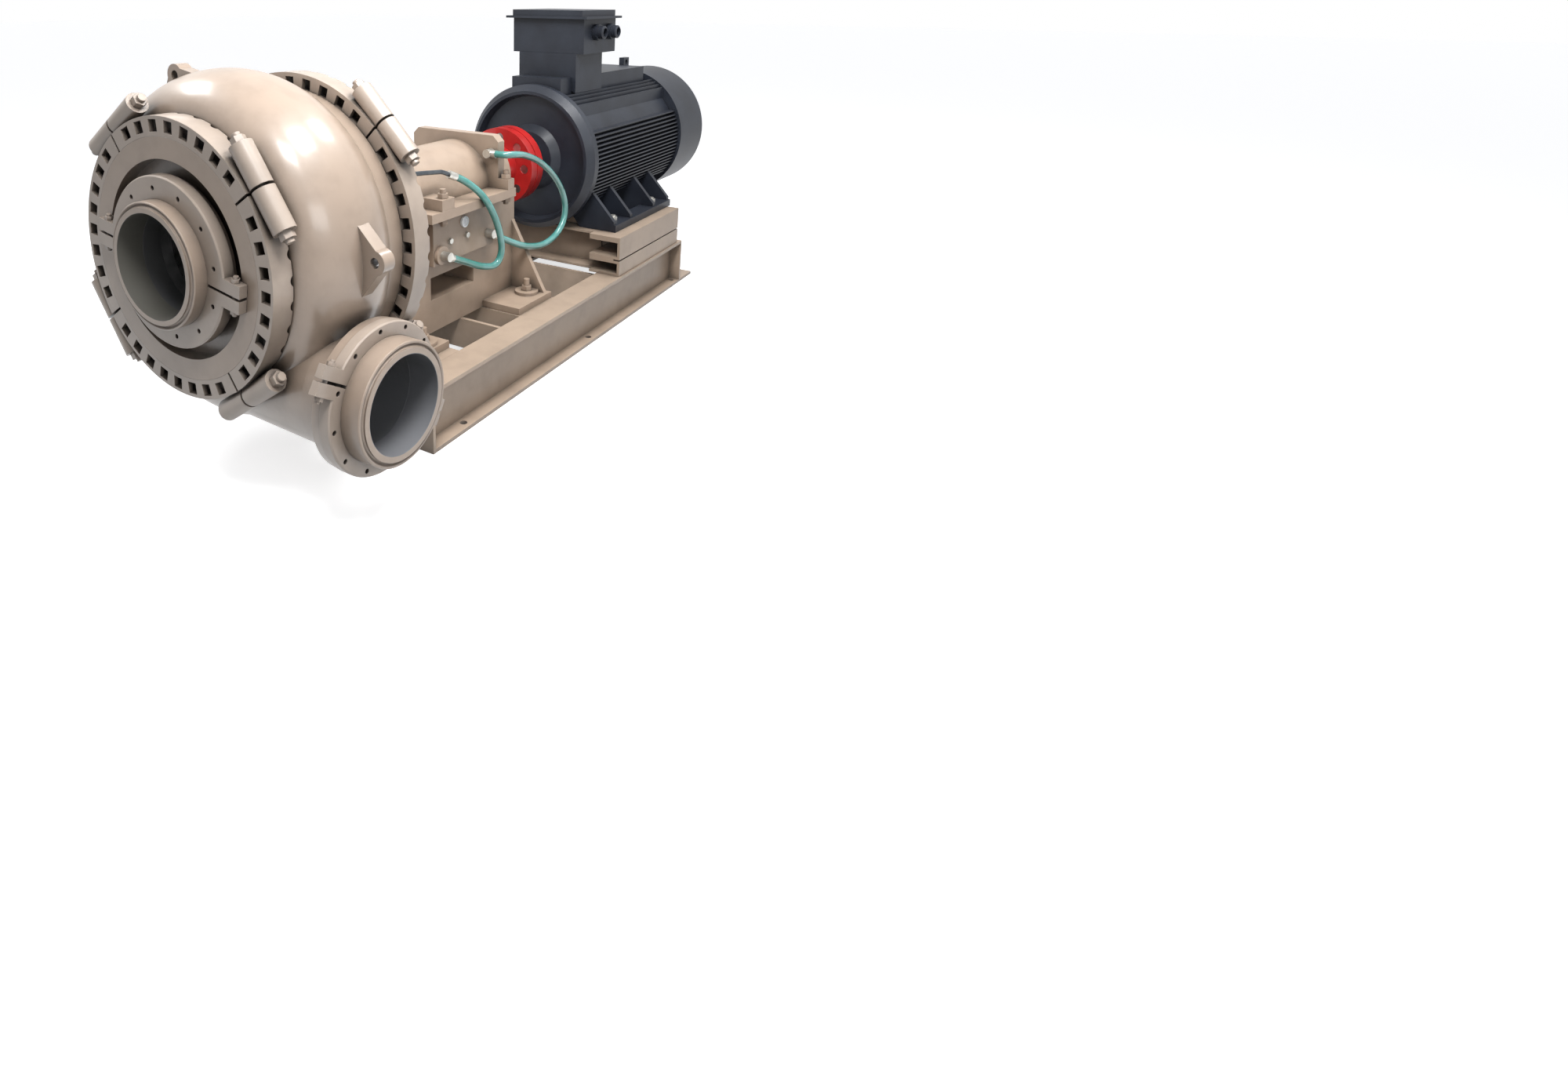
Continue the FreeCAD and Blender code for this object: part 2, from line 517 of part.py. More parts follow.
def volute_casing():
    """The bowl: one shell with a front and a rear opening, the nozzle, its flange and two ears."""
    wet, shaft, wall = number("wet_y"), number("shaft_height"), number("bowl_wall")
    opening, rear_opening = number("front_opening"), number("rear_opening")
    gap, width, lip = number("seat_gap"), number("ring_width"), number("lip_wall")
    front_neck, rear_neck = number("front_ring - 30") - gap, number("rear_lip") - gap
    rear_at = number("rear_at")
    shell = bowl(0, width + 2, number("bowl_rear"), front_neck, rear_neck, opening - 20)
    shell = shell.fuse(nozzle(number("nozzle_across"), number("nozzle_tall"),
                              number("discharge_bore + discharge_wall")))
    front_flange = [(width - lip - 15, opening - 10), (width - lip - 15, number("front_ring - band_wall") - gap),
                    (width - lip - gap, number("front_ring - band_wall") - gap), (width - lip - gap, front_neck),
                    (120, front_neck), (120, opening - 10)]
    thick = rear_neck + number("rear_neck_wall")
    rear_flange = [(370, rear_opening - 10), (370, thick), (rear_at - 4, thick), (rear_at - 4, rear_neck),
                   (rear_at + lip + gap, rear_neck),
                   (rear_at + lip + gap, rear_neck + 10), (rear_at + lip + 21, rear_neck + 10),
                   (rear_at + lip + 21, rear_opening - 10)]
    for outline in (front_flange, rear_flange):
        shell = shell.fuse(ring_of(outline, 0, 360, wet))
    centre = Vector(number("nozzle_end") - 30, number(shaft_y("discharge_at")), shaft - number("discharge_drop"))
    shell = shell.fuse(Part.makeCylinder(number("discharge_joint") - 3, 30, centre, Vector(1, 0, 0)))
    for angle in (3, 117):
        shell = shell.fuse(casing_lug(angle))
    hollow = bowl(wall, number("cavity_front"), number("bowl_rear") - wall, opening - 2, rear_opening - 2, 150)
    bore = nozzle(number("nozzle_across") - wall, number("nozzle_tall") - wall, number("discharge_bore"))
    tools = [hollow, bore,
             Part.makeCylinder(opening, 200, Vector(0, wet, shaft), Vector(0, 1, 0)),
             Part.makeCylinder(rear_opening, 300, Vector(0, wet + 300, shaft), Vector(0, 1, 0))]
    discharge = Vector(number("nozzle_end + joint_thick"), centre.y, centre.z)
    tools += stud_holes("discharge_circle", "discharge_first", "discharge_split",
                        number("joint_thick") + 30, discharge, "-X")
    shell = shell.cut(tools)
    biggest = max(shell.Solids, key=lambda s: s.Volume)
    node("volute_casing", feature("volute_casing", biggest))


# ----------------------------------------------------------------------- covers, pipes and joints
def covers():
    """The front door with its neck, and the back plate that takes the stuffing box."""
    pipe = "(suction_bore + suction_wall)"
    neck_back = "(suction_joint_at + joint_thick + seat_gap)"
    door = [(0, "recess_radius"), (0, "front_lip - seat_gap"), ("lip_wall + seat_gap", "front_lip - seat_gap"),
            ("lip_wall + seat_gap", "front_lip + 10"),
            ("ring_width - lip_wall - 15", "front_lip + 10"),
            ("ring_width - lip_wall - 15", "front_opening - seat_gap"),
            ("cavity_front", "front_opening - seat_gap"), ("cavity_front", "bush_radius"),
            ("cavity_front - bush_wall + 10", "bush_radius"), ("cavity_front - bush_wall + 10", "suction_bore"),
            (neck_back, "suction_bore"), (neck_back, "suction_joint - 10"),
            (f"{neck_back} + 16", "suction_joint - 10"), (f"{neck_back} + 16", f"{pipe} + 10"),
            ("recess_depth", f"{pipe} + 10"), ("recess_depth", "recess_radius")]
    suction = Vector(0, number(shaft_y("suction_joint_at")), number("shaft_height"))
    drill = stud_holes("suction_circle", "suction_first", "suction_split", number("joint_thick") + 18,
                       suction, "Y")
    holes = feature("front_cover_holes", Part.makeCompound(drill))
    node("front_cover", cut("front_cover", turned("front_cover_turned", door), [holes]))
    flange = "(rear_at + lip_wall + 21)"
    back = [("cavity_rear", "box_radius + seat_gap"), ("cavity_rear", "rear_opening - seat_gap"),
            (flange, "rear_opening - seat_gap"), (flange, "rear_ring - band_wall - seat_gap"),
            ("rear_at + ring_width - lip_wall - seat_gap", "rear_ring - band_wall - seat_gap"),
            ("rear_at + ring_width - lip_wall - seat_gap", "flange_radius"), ("cover_back", "flange_radius"),
            ("cover_back", "box_flange + recess_room"), ("box_at", "box_flange + recess_room"),
            ("box_at", "box_radius + seat_gap")]
    tapped = []
    for i in range(int(number("flange_bolts"))):
        x, z = polar("flange_bolt_circle", f"({i} + 0.5) * 360 / flange_bolts")
        tapped.append(cylinder(f"cover_tapped_{i}", "flange_bolt + seat_gap", "screw_depth + 1", x,
                               shaft_y("cover_back - screw_depth - 1"), z, "Y"))
    for i in range(int(number("box_screws"))):
        x, z = polar("box_screw_circle", f"({i} + 0.5) * 360 / box_screws")
        tapped.append(cylinder(f"box_tapped_{i}", "box_screw + seat_gap", "screw_depth + 1", x,
                               shaft_y("box_at - screw_depth - 1"), z, "Y"))
    node("rear_cover", cut("rear_cover", turned("rear_cover_turned", back), tapped))
    bush = [("cavity_front - bush_wall + 10 + seat_gap", "suction_bore"),
            ("cavity_front - bush_wall + 10 + seat_gap", "bush_radius - seat_gap"),
            ("cavity_front", "bush_radius - seat_gap"),
            ("cavity_front + 8", "suction_bore + 60"), ("cavity_front + 8", "suction_bore")]
    node("throat_bush", turned("throat_bush", bush))


def pipe_outline(bore, wall, mouth, back):
    """A short thick pipe with a raised liner lip at its mouth and a collar at its inner end."""
    outer, collar = f"({bore} + {wall})", f"({bore} + {wall} + collar_step)"
    return [(mouth, bore), (mouth, f"{bore} + {wall} / 2"), (f"{mouth} + lip_step", f"{bore} + {wall} / 2"),
            (f"{mouth} + 2 * lip_step", f"{bore} + {wall} / 2 + lip_step"),
            (f"{mouth} + lip_step", f"{bore} + {wall} / 2 + 2 * lip_step"),
            (f"{mouth} + lip_step", f"{outer} - lip_step / 2"), (f"{mouth} + 1.5 * lip_step", outer),
            (f"{back} - collar_wall", outer), (f"{back} - collar_wall", collar), (back, collar), (back, bore)]


def joint_half(bore, wall, outer, circle, first, split_at, place_at, axis):
    """Half of a split retaining ring with its screw holes and the two bolting lugs."""
    pipe, collar = number(f"{bore} + {wall} + seat_gap"), number(f"{bore} + {wall} + collar_step + seat_gap")
    thick, rim, pitch = number("joint_thick"), number(outer), number(circle)
    depth, gap = number("collar_wall + seat_gap"), number("split_gap") / 2
    lug, width, bolt = number("joint_lug"), number("joint_lug_width"), number("joint_bolt")
    lug_thick = number("joint_lug_thick")
    outline = [Vector(pipe, 0, 0), Vector(rim - 4, 0, 0), Vector(rim, 4, 0), Vector(rim, thick, 0),
               Vector(collar, thick, 0), Vector(collar, thick - depth, 0), Vector(pipe, thick - depth, 0)]
    half = Part.Face(Part.makePolygon(outline + outline[:1])).revolve(Vector(), Vector(0, 1, 0), -180)
    for side in (1, -1):
        block = Part.makeBox(lug + 12, lug_thick, width, Vector(rim - 12 if side > 0 else -rim - lug, 0, 0))
        half = half.fuse(block)
    tools = [Part.makeBox(4 * rim, 2 * thick, gap, Vector(-2 * rim, -thick / 2, 0))]
    for side in (1, -1):
        tools.append(Part.makeCylinder(bolt + 0.5, 2 * width, Vector(side * (rim + lug / 2), lug_thick / 2, -width / 2),
                                       Vector(0, 0, 1)))
    count = int(number("joint_bolts"))
    for i in range(count):
        angle = math.radians(first + 360.0 * i / count)
        spot = Vector(pitch * math.cos(angle), -1, pitch * math.sin(angle))
        if spot.z > number("joint_hole") + gap:
            tools.append(Part.makeCylinder(number("joint_hole"), thick + 2, spot, Vector(0, 1, 0)))
    half = half.cut(tools)
    half = max(half.Solids, key=lambda s: s.Volume)
    half.rotate(Vector(), Vector(0, 1, 0), -split_at)
    half.Placement = Placement(place_at, TURN[axis]).multiply(half.Placement)
    return half


def split_bolts(outer, split_at, place_at, axis):
    """The two bolts that draw the halves of a ring together."""
    thick, rim, lug = number("joint_lug_thick"), number(outer), number("joint_lug")
    width, bolt = number("joint_lug_width"), number("joint_bolt")
    made = []
    for sign in (1, -1):
        end = width + 2.4 * bolt
        spot = Vector(sign * (rim + lug / 2), thick / 2, 0)
        shank = Part.makeCylinder(bolt, 2 * end, spot - Vector(0, 0, end), Vector(0, 0, 1))
        for way in (1, -1):
            shank = shank.fuse(nut_shape(1.7 * bolt, 1.5 * bolt, spot + Vector(0, 0, way * width),
                                         Vector(0, 0, way)))
        shank.rotate(Vector(), Vector(0, 1, 0), -split_at)
        shank.Placement = Placement(place_at, TURN[axis]).multiply(shank.Placement)
        made.append(shank)
    return made


def stud_holes(circle, first, split_at, depth, place_at, axis):
    """The holes that carry a joint's studs on through the piece behind the ring."""
    count, holes = int(number("joint_bolts")), []
    for i in range(count):
        angle = math.radians(number(first) + number(split_at) + 360.0 * i / count)
        spot = Vector(number(circle) * math.cos(angle), -1, number(circle) * math.sin(angle))
        hole = Part.makeCylinder(number("joint_hole"), depth + 2, spot, Vector(0, 1, 0))
        hole.Placement = Placement(place_at, TURN[axis]).multiply(hole.Placement)
        holes.append(hole)
    return holes


def pipes():
    """The suction and discharge pipes, each held by a ring in two halves."""
    back = "(suction_joint_at + joint_thick)"
    node("suction_pipe", turned("suction_pipe", pipe_outline("suction_bore", "suction_wall",
                                                               "-mouth_reach", back)))
    spool = pipe_outline("discharge_bore", "discharge_wall", "nozzle_end - discharge_mouth", "0")
    spool = [(f"-({a})", b) for a, b in spool]
    node("discharge_pipe", turned("discharge_pipe", spool, "nozzle_end", shaft_y("discharge_at"),
                                  "shaft_height - discharge_drop", "X"))
    suction = Vector(0, number(shaft_y("suction_joint_at")), number("shaft_height"))
    discharge = Vector(number("nozzle_end + joint_thick"), number(shaft_y("discharge_at")),
                       number("shaft_height - discharge_drop"))
    for name, hole, split, spot, axis in (("suction", "suction_first", "suction_split", suction, "Y"),
                                          ("discharge", "discharge_first", "discharge_split", discharge, "-X")):
        halves = [joint_half(name + "_bore", name + "_wall", name + "_joint", name + "_circle",
                             number(hole), number(split) + turn, spot, axis) for turn in (0, 180)]
        node(name + "_joint_ring", feature(name + "_joint_ring", Part.makeCompound(halves)))
    bolts = split_bolts("suction_joint", number("suction_split"), suction, "Y")
    bolts += split_bolts("discharge_joint", number("discharge_split"), discharge, "-X")
    node("split_ring_bolts", feature("split_ring_bolts", Part.makeCompound(bolts)))


# ----------------------------------------------------------------------------- wear parts and seal
def polar(circle, angle):
    """Where a point on a circle round the shaft lies, as formulas for x and z."""
    return f"{circle} * cos({angle})", f"shaft_height + {circle} * sin({angle})"


def impeller():
    """Two shrouds, a hub with a nose and three backward vanes."""
    wet, shaft, rim = number("wet_y"), number("shaft_height"), number("impeller_radius")
    front, back = number("cavity_front + shroud_gap"), number("cavity_rear - shroud_gap")
    wall, hub, bore = number("shroud_wall"), number("hub_radius"), number("impeller_bore + seat_gap")
    eye, nose = number("suction_bore"), number("hub_nose")
    outlines = ([(front, eye), (front, rim), (front + wall, rim), (front + wall, eye + 12)],
                [(nose, 0), (nose + 15, hub * 0.55), (back - wall - 60, hub), (back - wall, hub * 1.5),
                 (back - wall, rim), (back, rim), (back, bore), (nose + 50, bore), (nose + 50, 0)])
    shape = ring_of(outlines[0], 0, 360, wet).fuse(ring_of(outlines[1], 0, 360, wet))
    count, thick = int(number("vanes")), number("vane_wall")
    for i in range(count):
        sides = ([], [])
        for step in range(9):
            radius = hub * 1.15 + (rim - hub * 1.15) * step / 8
            angle = 360.0 * i / count - 95 * step / 8
            swing = math.degrees(thick / 2 / radius) * (0.6 + 0.6 * step / 8)
            sides[0].append(around(angle + swing, radius, wet + front + wall - 1))
            sides[1].append(around(angle - swing, radius, wet + front + wall - 1))
        outline = sides[0] + sides[1][::-1]
        face = Part.Face(Part.makePolygon(outline + outline[:1]))
        shape = shape.fuse(face.extrude(Vector(0, back - front - 2 * wall + 2, 0)))
    node("impeller", feature("impeller", shape.removeSplitter()))


def pump_rotor():
    """The shaft and the sleeve that protects it under the packing."""
    back, end = "(cavity_rear - shroud_gap)", "coupling_at + coupling_wall"
    step = "coupling_at - coupling_length - 10"
    outline = [("hub_nose + 50 + seat_gap", 0), ("hub_nose + 50 + seat_gap", "impeller_bore"),
               (back, "impeller_bore"), (back, "shaft_radius"), (step, "shaft_radius"),
               (step, "pump_journal"), (end, "pump_journal"), (end, 0)]
    node("pump_shaft", turned("pump_shaft", outline))
    sleeve = [(back, "shaft_radius + seat_gap"), (back, "shaft_radius + sleeve_wall"),
              ("sleeve_end", "shaft_radius + sleeve_wall"), ("sleeve_end", "shaft_radius + seat_gap")]
    node("shaft_sleeve", turned("shaft_sleeve", sleeve))


def seal():
    """The stuffing box, its packing, the lantern ring and the gland."""
    sleeve = "(shaft_radius + sleeve_wall)"
    flange_back = "(box_at + seat_gap + box_flange_wall)"
    body = [("cavity_rear + 4", f"{sleeve} + 1"), ("cavity_rear + 4", "box_radius"),
            ("box_at + seat_gap", "box_radius"), ("box_at + seat_gap", "box_flange"),
            (flange_back, "box_flange"), (flange_back, "box_neck"), ("box_end", "box_neck"),
            ("box_end", "chamber"), ("chamber_floor", "chamber"), ("chamber_floor", f"{sleeve} + 1")]
    screws, holes = [], []
    for i in range(int(number("box_screws"))):
        x, z = polar("box_screw_circle", f"({i} + 0.5) * 360 / box_screws")
        holes.append(cylinder(f"box_hole_{i}", "box_screw + seat_gap", "box_flange_wall", x,
                              shaft_y("box_at + seat_gap"), z, "Y"))
        screws.append(cylinder(f"box_screw_{i}", "box_screw", "box_flange_wall + screw_depth", x,
                               shaft_y("box_at + seat_gap - screw_depth"), z, "Y"))
        head = hexagon(f"box_screw_{i}_head", "1.8 * box_screw", "1.1 * box_screw", x, shaft_y(flange_back), z, "Y")
        screws[-1] = joined(f"box_bolt_{i}", [screws[-1], head])
    node("stuffing_box", cut("stuffing_box", turned("box_turned", body), holes))
    rings, along = [], "chamber_floor"
    for i in range(int(number("packing_rings"))):
        if i == 2:
            lantern = along
            along += " + lantern_width"
        section = [(along, f"{sleeve} + running_gap"), (along, "chamber - seat_gap"),
                   (f"{along} + packing_ring", "chamber - seat_gap"),
                   (f"{along} + packing_ring", f"{sleeve} + running_gap")]
        rings.append(turned(f"packing_{i}", section))
        along += " + packing_ring"
    node("gland_packing", group("gland_packing", rings))
    lantern_ring = [(lantern, f"{sleeve} + 1"), (lantern, "chamber - seat_gap"),
                    (f"{lantern} + 6", "chamber - seat_gap"), (f"{lantern} + 6", "chamber - 7"),
                    (f"{lantern} + lantern_width - 6", "chamber - 7"),
                    (f"{lantern} + lantern_width - 6", "chamber - seat_gap"),
                    (f"{lantern} + lantern_width", "chamber - seat_gap"),
                    (f"{lantern} + lantern_width", f"{sleeve} + 1")]
    node("lantern_ring", turned("lantern_ring", lantern_ring))
    gland = [(along, f"{sleeve} + 1"), (along, "chamber - seat_gap"), ("box_end + 8", "chamber - seat_gap"),
             ("box_end + 8", "gland_radius_out"), ("box_end + 8 + gland_flange", "gland_radius_out"),
             ("box_end + 8 + gland_flange", f"{sleeve} + 1")]
    studs, holes = [], []
    for i, angle in enumerate((45, 135, 225, 315)):
        x, z = polar("gland_circle", angle)
        y = shaft_y("box_end")
        holes.append(cylinder(f"gland_hole_{i}", "gland_stud + seat_gap", "8 + gland_flange", x, y, z, "Y"))
        stud = cylinder(f"gland_stud_{i}", "gland_stud", "gland_flange + 28", x, y, z, "Y")
        nut = hexagon(f"gland_nut_{i}", "1.8 * gland_stud", "1.5 * gland_stud", x,
                      shaft_y("box_end + 8 + gland_flange"), z, "Y")
        studs.append(joined(f"gland_bolt_{i}", [stud, nut]))
    node("gland", cut("gland", turned("gland_turned", gland), holes))
    node("gland_studs", group("gland_studs", studs))
    return screws


# --------------------------------------------------------------------------------- the pedestal
def mirrored(name, outline, length, y, z="0"):
    """Two plates alike, one at each side."""
    right = plate(name + "_right", "XZ_Plane", outline, length, 0, y, z)
    left = plate(name + "_left", "XZ_Plane", [(f"-({a})", b) for a, b in outline], length, 0, y, z)
    return [right, left]


def pedestal():
    """One casting: flange, arched neck, cradle for the bearing housing, end wall and feet."""
    floor, trough = "beam_height", "housing_radius + seat_gap"
    flange = turned("pedestal_ring", [("cover_back", "flange_bore"), ("cover_back", "flange_radius"),
                                      ("cover_back + pedestal_flange", "flange_radius"),
                                      ("cover_back + pedestal_flange", "flange_bore")])
    long = "(wall_at + end_wall - base_at)"
    body = box("cradle", ("-cradle_half", shaft_y("base_at"), floor),
               ("2 * cradle_half", long, f"cradle_top - {floor}"))
    side = [("cover_back + pedestal_flange - 2", "shaft_height - arch_rise"),
            ("cover_back + pedestal_flange - 2", "shaft_height + arch_rise"),
            ("base_at + 60", "cradle_top"), ("base_at + 60", floor), ("base_at", floor)]
    walls = [plate(f"arch_{name}", "YZ_Plane", side, "arch_wall", x, "wet_y")
             for name, x in (("right", "cradle_half - arch_wall"), ("left", "-cradle_half"))]
    slope = "(wall_foot - wall_head) / (wall_top - beam_height - foot_wall)"
    end = plate("end_wall_plate", "XZ_Plane",
                [("-wall_foot", "beam_height + foot_wall - 1"), ("wall_foot", "beam_height + foot_wall - 1"),
                 ("wall_head", "wall_top"), ("-wall_head", "wall_top")], "end_wall", 0, shaft_y("wall_at"))
    feet = [box("rear_foot", ("-foot_half", shaft_y("foot_at"), floor), ("2 * foot_half", "foot_reach", "foot_wall")),
            box("front_foot_plate", ("-front_foot_half", shaft_y("base_at"), floor),
                ("2 * front_foot_half", "front_foot_length", "foot_wall"))]
    for x, y, name in stud_places():
        feet.append(cylinder(f"foot_boss_{name}", "foot_boss", "foot_wall + boss_step", x, y, floor, "Z"))
    ledges = []
    for name, x in (("right", "cradle_half - 3"), ("left", "-ledge_out")):
        ledges.append(box(f"ledge_{name}", (x, shaft_y("ledge_at"), "cradle_top - ledge_wall"),
                          ("ledge_out - cradle_half + 3", "ledge_length", "ledge_wall")))
    solid = joined("pedestal_rough", [flange, body, end] + walls + feet + ledges)
    tools = [cylinder("cradle_trough", trough, "wall_at - base_at + 1", 0, shaft_y("base_at - 1"),
                      "shaft_height", "Y"),
             cylinder("end_notch", "cover_radius + 6", "2 * end_wall", 0, shaft_y("wall_at - 1"),
                      "shaft_height", "Y"),
             box("side_window", ("-2 * cradle_half", shaft_y("window_at"), "base_top"),
                 ("4 * cradle_half", "window_length", "window_top - base_top")),
             box("under_hollow", ("-cradle_half + arch_wall", shaft_y("base_at + arch_wall"), floor),
                 ("2 * (cradle_half - arch_wall)", f"{long} - 2 * arch_wall", "base_top - beam_height - arch_wall")),
             box("arch_window", ("-2 * cradle_half", shaft_y("cover_back + pedestal_flange + 20"), "arch_floor"),
                 ("4 * cradle_half", "base_at - cover_back - pedestal_flange - 40", "arch_top - arch_floor"))]
    for x, y, name in stud_places():
        tools.append(cylinder(f"foot_hole_{name}", "foot_stud + 1", "foot_wall + boss_step", x, y, floor, "Z"))
    for i, (x, y) in enumerate(clamp_places()):
        tools.append(cylinder(f"ledge_hole_{i}", "hold_down + 1", "ledge_wall", x, y,
                              "cradle_top - ledge_wall", "Z"))
    for i in range(int(number("flange_bolts"))):
        x, z = polar("flange_bolt_circle", f"({i} + 0.5) * 360 / flange_bolts")
        tools.append(cylinder(f"flange_hole_{i}", "flange_bolt + 1", "pedestal_flange", x,
                              shaft_y("cover_back"), z, "Y"))
    node("pedestal", cut("pedestal", solid, tools))


def stud_places():
    """Where the pedestal is bolted to the skid."""
    return [(f"{side} * {x}", shaft_y(y), f"{name}_{row}")
            for row, x, y in (("rear", "foot_stud_x", "foot_stud_at"), ("front", "(foot_stud_x - 20)", "front_stud_at"))
            for name, side in (("right", 1), ("left", -1))]


def clamp_places():
    """Where the bearing housing is clamped on the ledges."""
    return [(f"{side} * hold_down_x", shaft_y(y)) for side in (1, -1)
            for y in ("housing_lug_at + housing_lug_length / 2", "yoke_at + yoke_wall / 2")]


def pedestal_fasteners():
    """Studs in the feet and bolts in the flange."""
    studs = []
    for x, y, name in stud_places():
        low = "beam_height - cross_wall - 0.5"
        shank = cylinder(f"foot_shank_{name}", "foot_stud", "cross_wall + foot_wall + boss_step + 4 * foot_stud", x, y, low, "Z")
        nut = hexagon(f"foot_nut_{name}", "1.8 * foot_stud", "1.7 * foot_stud", x, y,
                      "beam_height + foot_wall + boss_step", "Z")
        studs.append(joined(f"foot_stud_{name}", [shank, nut]))
    node("foot_studs", group("foot_studs", studs))
    bolts = []
    for i in range(int(number("flange_bolts"))):
        x, z = polar("flange_bolt_circle", f"({i} + 0.5) * 360 / flange_bolts")
        shank = cylinder(f"flange_shank_{i}", "flange_bolt", "pedestal_flange + flange_bolt + screw_depth", x,
                         shaft_y("cover_back - screw_depth"), z, "Y")
        head = hexagon(f"flange_head_{i}", "1.8 * flange_bolt", "1.2 * flange_bolt", x,
                       shaft_y("cover_back + pedestal_flange"), z, "Y")
        bolts.append(joined(f"flange_bolt_{i}", [shank, head]))
    node("flange_bolts", group("flange_bolts", bolts))
    clamps = []
    for i, (x, y) in enumerate(clamp_places()):
        low = "cradle_top - ledge_wall - 2.5 * hold_down"
        shank = cylinder(f"clamp_shank_{i}", "hold_down",
                         "ledge_wall + housing_lug + 5.5 * hold_down", x, y, low, "Z")
        parts = [shank]
        for name, z in (("top", "cradle_top + housing_lug"),
                        ("under", "cradle_top - ledge_wall - 1.6 * hold_down")):
            parts.append(hexagon(f"clamp_nut_{name}_{i}", "1.8 * hold_down", "1.6 * hold_down", x, y, z, "Z"))
        clamps.append(joined(f"clamp_bolt_{i}", parts))
    node("housing_clamp_bolts", group("housing_clamp_bolts", clamps))


# ------------------------------------------------------------------------- the bearing assembly
def bearing_places():
    """Where the two bearings begin along the shaft."""
    return ("(housing_at + bearing_inset)", "(housing_at + housing_length - bearing_inset - bearing_width)")


def bearing_housing():
    """A barrel with a yoke across it and two lugs, which lies in the pedestal's cradle."""
    bore, end = "bearing_bore + seat_gap", "(housing_at + housing_length)"
    front, rear = bearing_places()
    outline = [("housing_at", bore), ("housing_at", "housing_radius"), (end, "housing_radius"), (end, bore),
               (rear, bore), (rear, "bearing_bore + 18"), (f"{front} + bearing_width", "bearing_bore + 18"),
               (f"{front} + bearing_width", bore)]
    barrel = turned("housing_barrel", outline)
    low, lug_top = "(cradle_top - shaft_height)", "(cradle_top + housing_lug - shaft_height)"
    top = "(yoke_top - shaft_height)"
    shape = [("-ledge_out", low), ("ledge_out", low), ("ledge_out", lug_top),
             ("yoke_half", lug_top), ("yoke_half", f"{top} - yoke_corner"), ("yoke_half - yoke_corner", top),
             ("-yoke_half + yoke_corner", top), ("-yoke_half", f"{top} - yoke_corner"), ("-yoke_half", lug_top),
             ("-ledge_out", lug_top)]
    yoke = plate("yoke_plate", "XZ_Plane", shape, "yoke_wall", 0, shaft_y("yoke_at"), "shaft_height")
    lugs = box("housing_lugs", ("-ledge_out", shaft_y("housing_lug_at"), "cradle_top"),
               ("2 * ledge_out", "housing_lug_length", "housing_lug"))
    core = cylinder("housing_core", "bearing_bore + 20", "housing_length + 100", 0, shaft_y("housing_at - 50"),
                    "shaft_height", "Y")
    arms = cut("housing_arms", joined("housing_arms_rough", [yoke, lugs]), [core])
    holes = [cylinder(f"lug_hole_{i}", "hold_down + 1", "housing_lug + 1", x, y, "cradle_top - 0.5", "Z")
             for i, (x, y) in enumerate(clamp_places())]
    arms = cut("housing_arms_drilled", arms, holes)
    node("bearing_housing", joined("bearing_housing", [barrel, arms]))


def bearings():
    """Two roller bearings and the covers that close the housing."""
    inner, outer, turning = [], [], []
    shaft, inner_out = "(shaft_radius + seat_gap)", "(shaft_radius + race_wall)"
    outer_in = "(bearing_bore - race_wall)"
    for b, at in enumerate(bearing_places()):
        end = f"{at} + bearing_width"
        inner.append(turned(f"inner_ring_{b}", [(at, shaft), (at, inner_out), (end, inner_out), (end, shaft)]))
        outer.append(turned(f"outer_ring_{b}", [(at, outer_in), (at, "bearing_bore"), (end, "bearing_bore"),
                                                (end, outer_in)]))
        for i in range(int(number("rollers"))):
            x, z = polar(f"(({inner_out} + {outer_in}) / 2)", f"{i} * 360 / rollers")
            inner.append(cylinder(f"roller_{b}_{i}", "roller_radius", "bearing_width - 12", x,
                                  shaft_y(f"{at} + 6"), z, "Y"))
    node("bearing_inner_rings", group("bearing_inner_rings", inner))
    node("bearing_outer_rings", group("bearing_outer_rings", outer))
    bore, end = "shaft_radius + 1", "(housing_at + housing_length)"
    covers = (("front_bearing_cover", "(housing_at - housing_cover)", "housing_at",
               "housing_at + bearing_inset - 2"),
              ("rear_bearing_cover", f"({end} + housing_cover)", end, f"{end} - bearing_inset + 2"))
    screws = []
    for label, out, seat, spigot in covers:
        outline = [(out, bore), (out, "cover_radius"), (seat, "cover_radius"), (seat, "bearing_bore"),
                   (spigot, "bearing_bore"), (spigot, bore)]
        holes = []
        for i in range(int(number("cover_screws"))):
            x, z = polar("(cover_radius - 2.2 * cover_screw)", f"({i} + 0.5) * 360 / cover_screws")
            low = out if "front" in label else seat
            holes.append(cylinder(f"{label}_hole_{i}", "cover_screw + seat_gap", "housing_cover", x,
                                  shaft_y(low), z, "Y"))
            shank = cylinder(f"{label}_shank_{i}", "cover_screw", "housing_cover", x, shaft_y(low), z, "Y")
            head_at = f"{out} - 1.1 * cover_screw" if "front" in label else out
            head = hexagon(f"{label}_head_{i}", "1.8 * cover_screw", "1.1 * cover_screw", x, shaft_y(head_at),
                           z, "Y")
            screws.append(joined(f"{label}_screw_{i}", [shank, head]))
        node(label, cut(label, turned(label + "_turned", outline), holes))
    return screws


# ---------------------------------------------------------------------- oil chest and the hoses
def corner_path(points):
    """Straight runs with a tangent arc at every corner, and the arcs' radii."""
    edges, radii, start = [], [], points[0]
    for before, corner, after in zip(points, points[1:], points[2:]):
        back, ahead = (before - corner), (after - corner)
        turn = math.pi - back.getAngle(ahead)
        run = 0.45 * min(back.Length, ahead.Length)
        radii.append(run / math.tan(turn / 2))
        first, last = corner + back.normalize() * run, corner + ahead.normalize() * run
        inward = (back + ahead).normalize()
        height = radii[-1] / math.cos(turn / 2) - radii[-1]
        edges.append(Part.makeLine(start, first))
        edges.append(Part.Arc(first, corner + inward * height, last).toShape())
        start = last
    edges.append(Part.makeLine(start, points[-1]))
    return Part.Wire(edges), radii


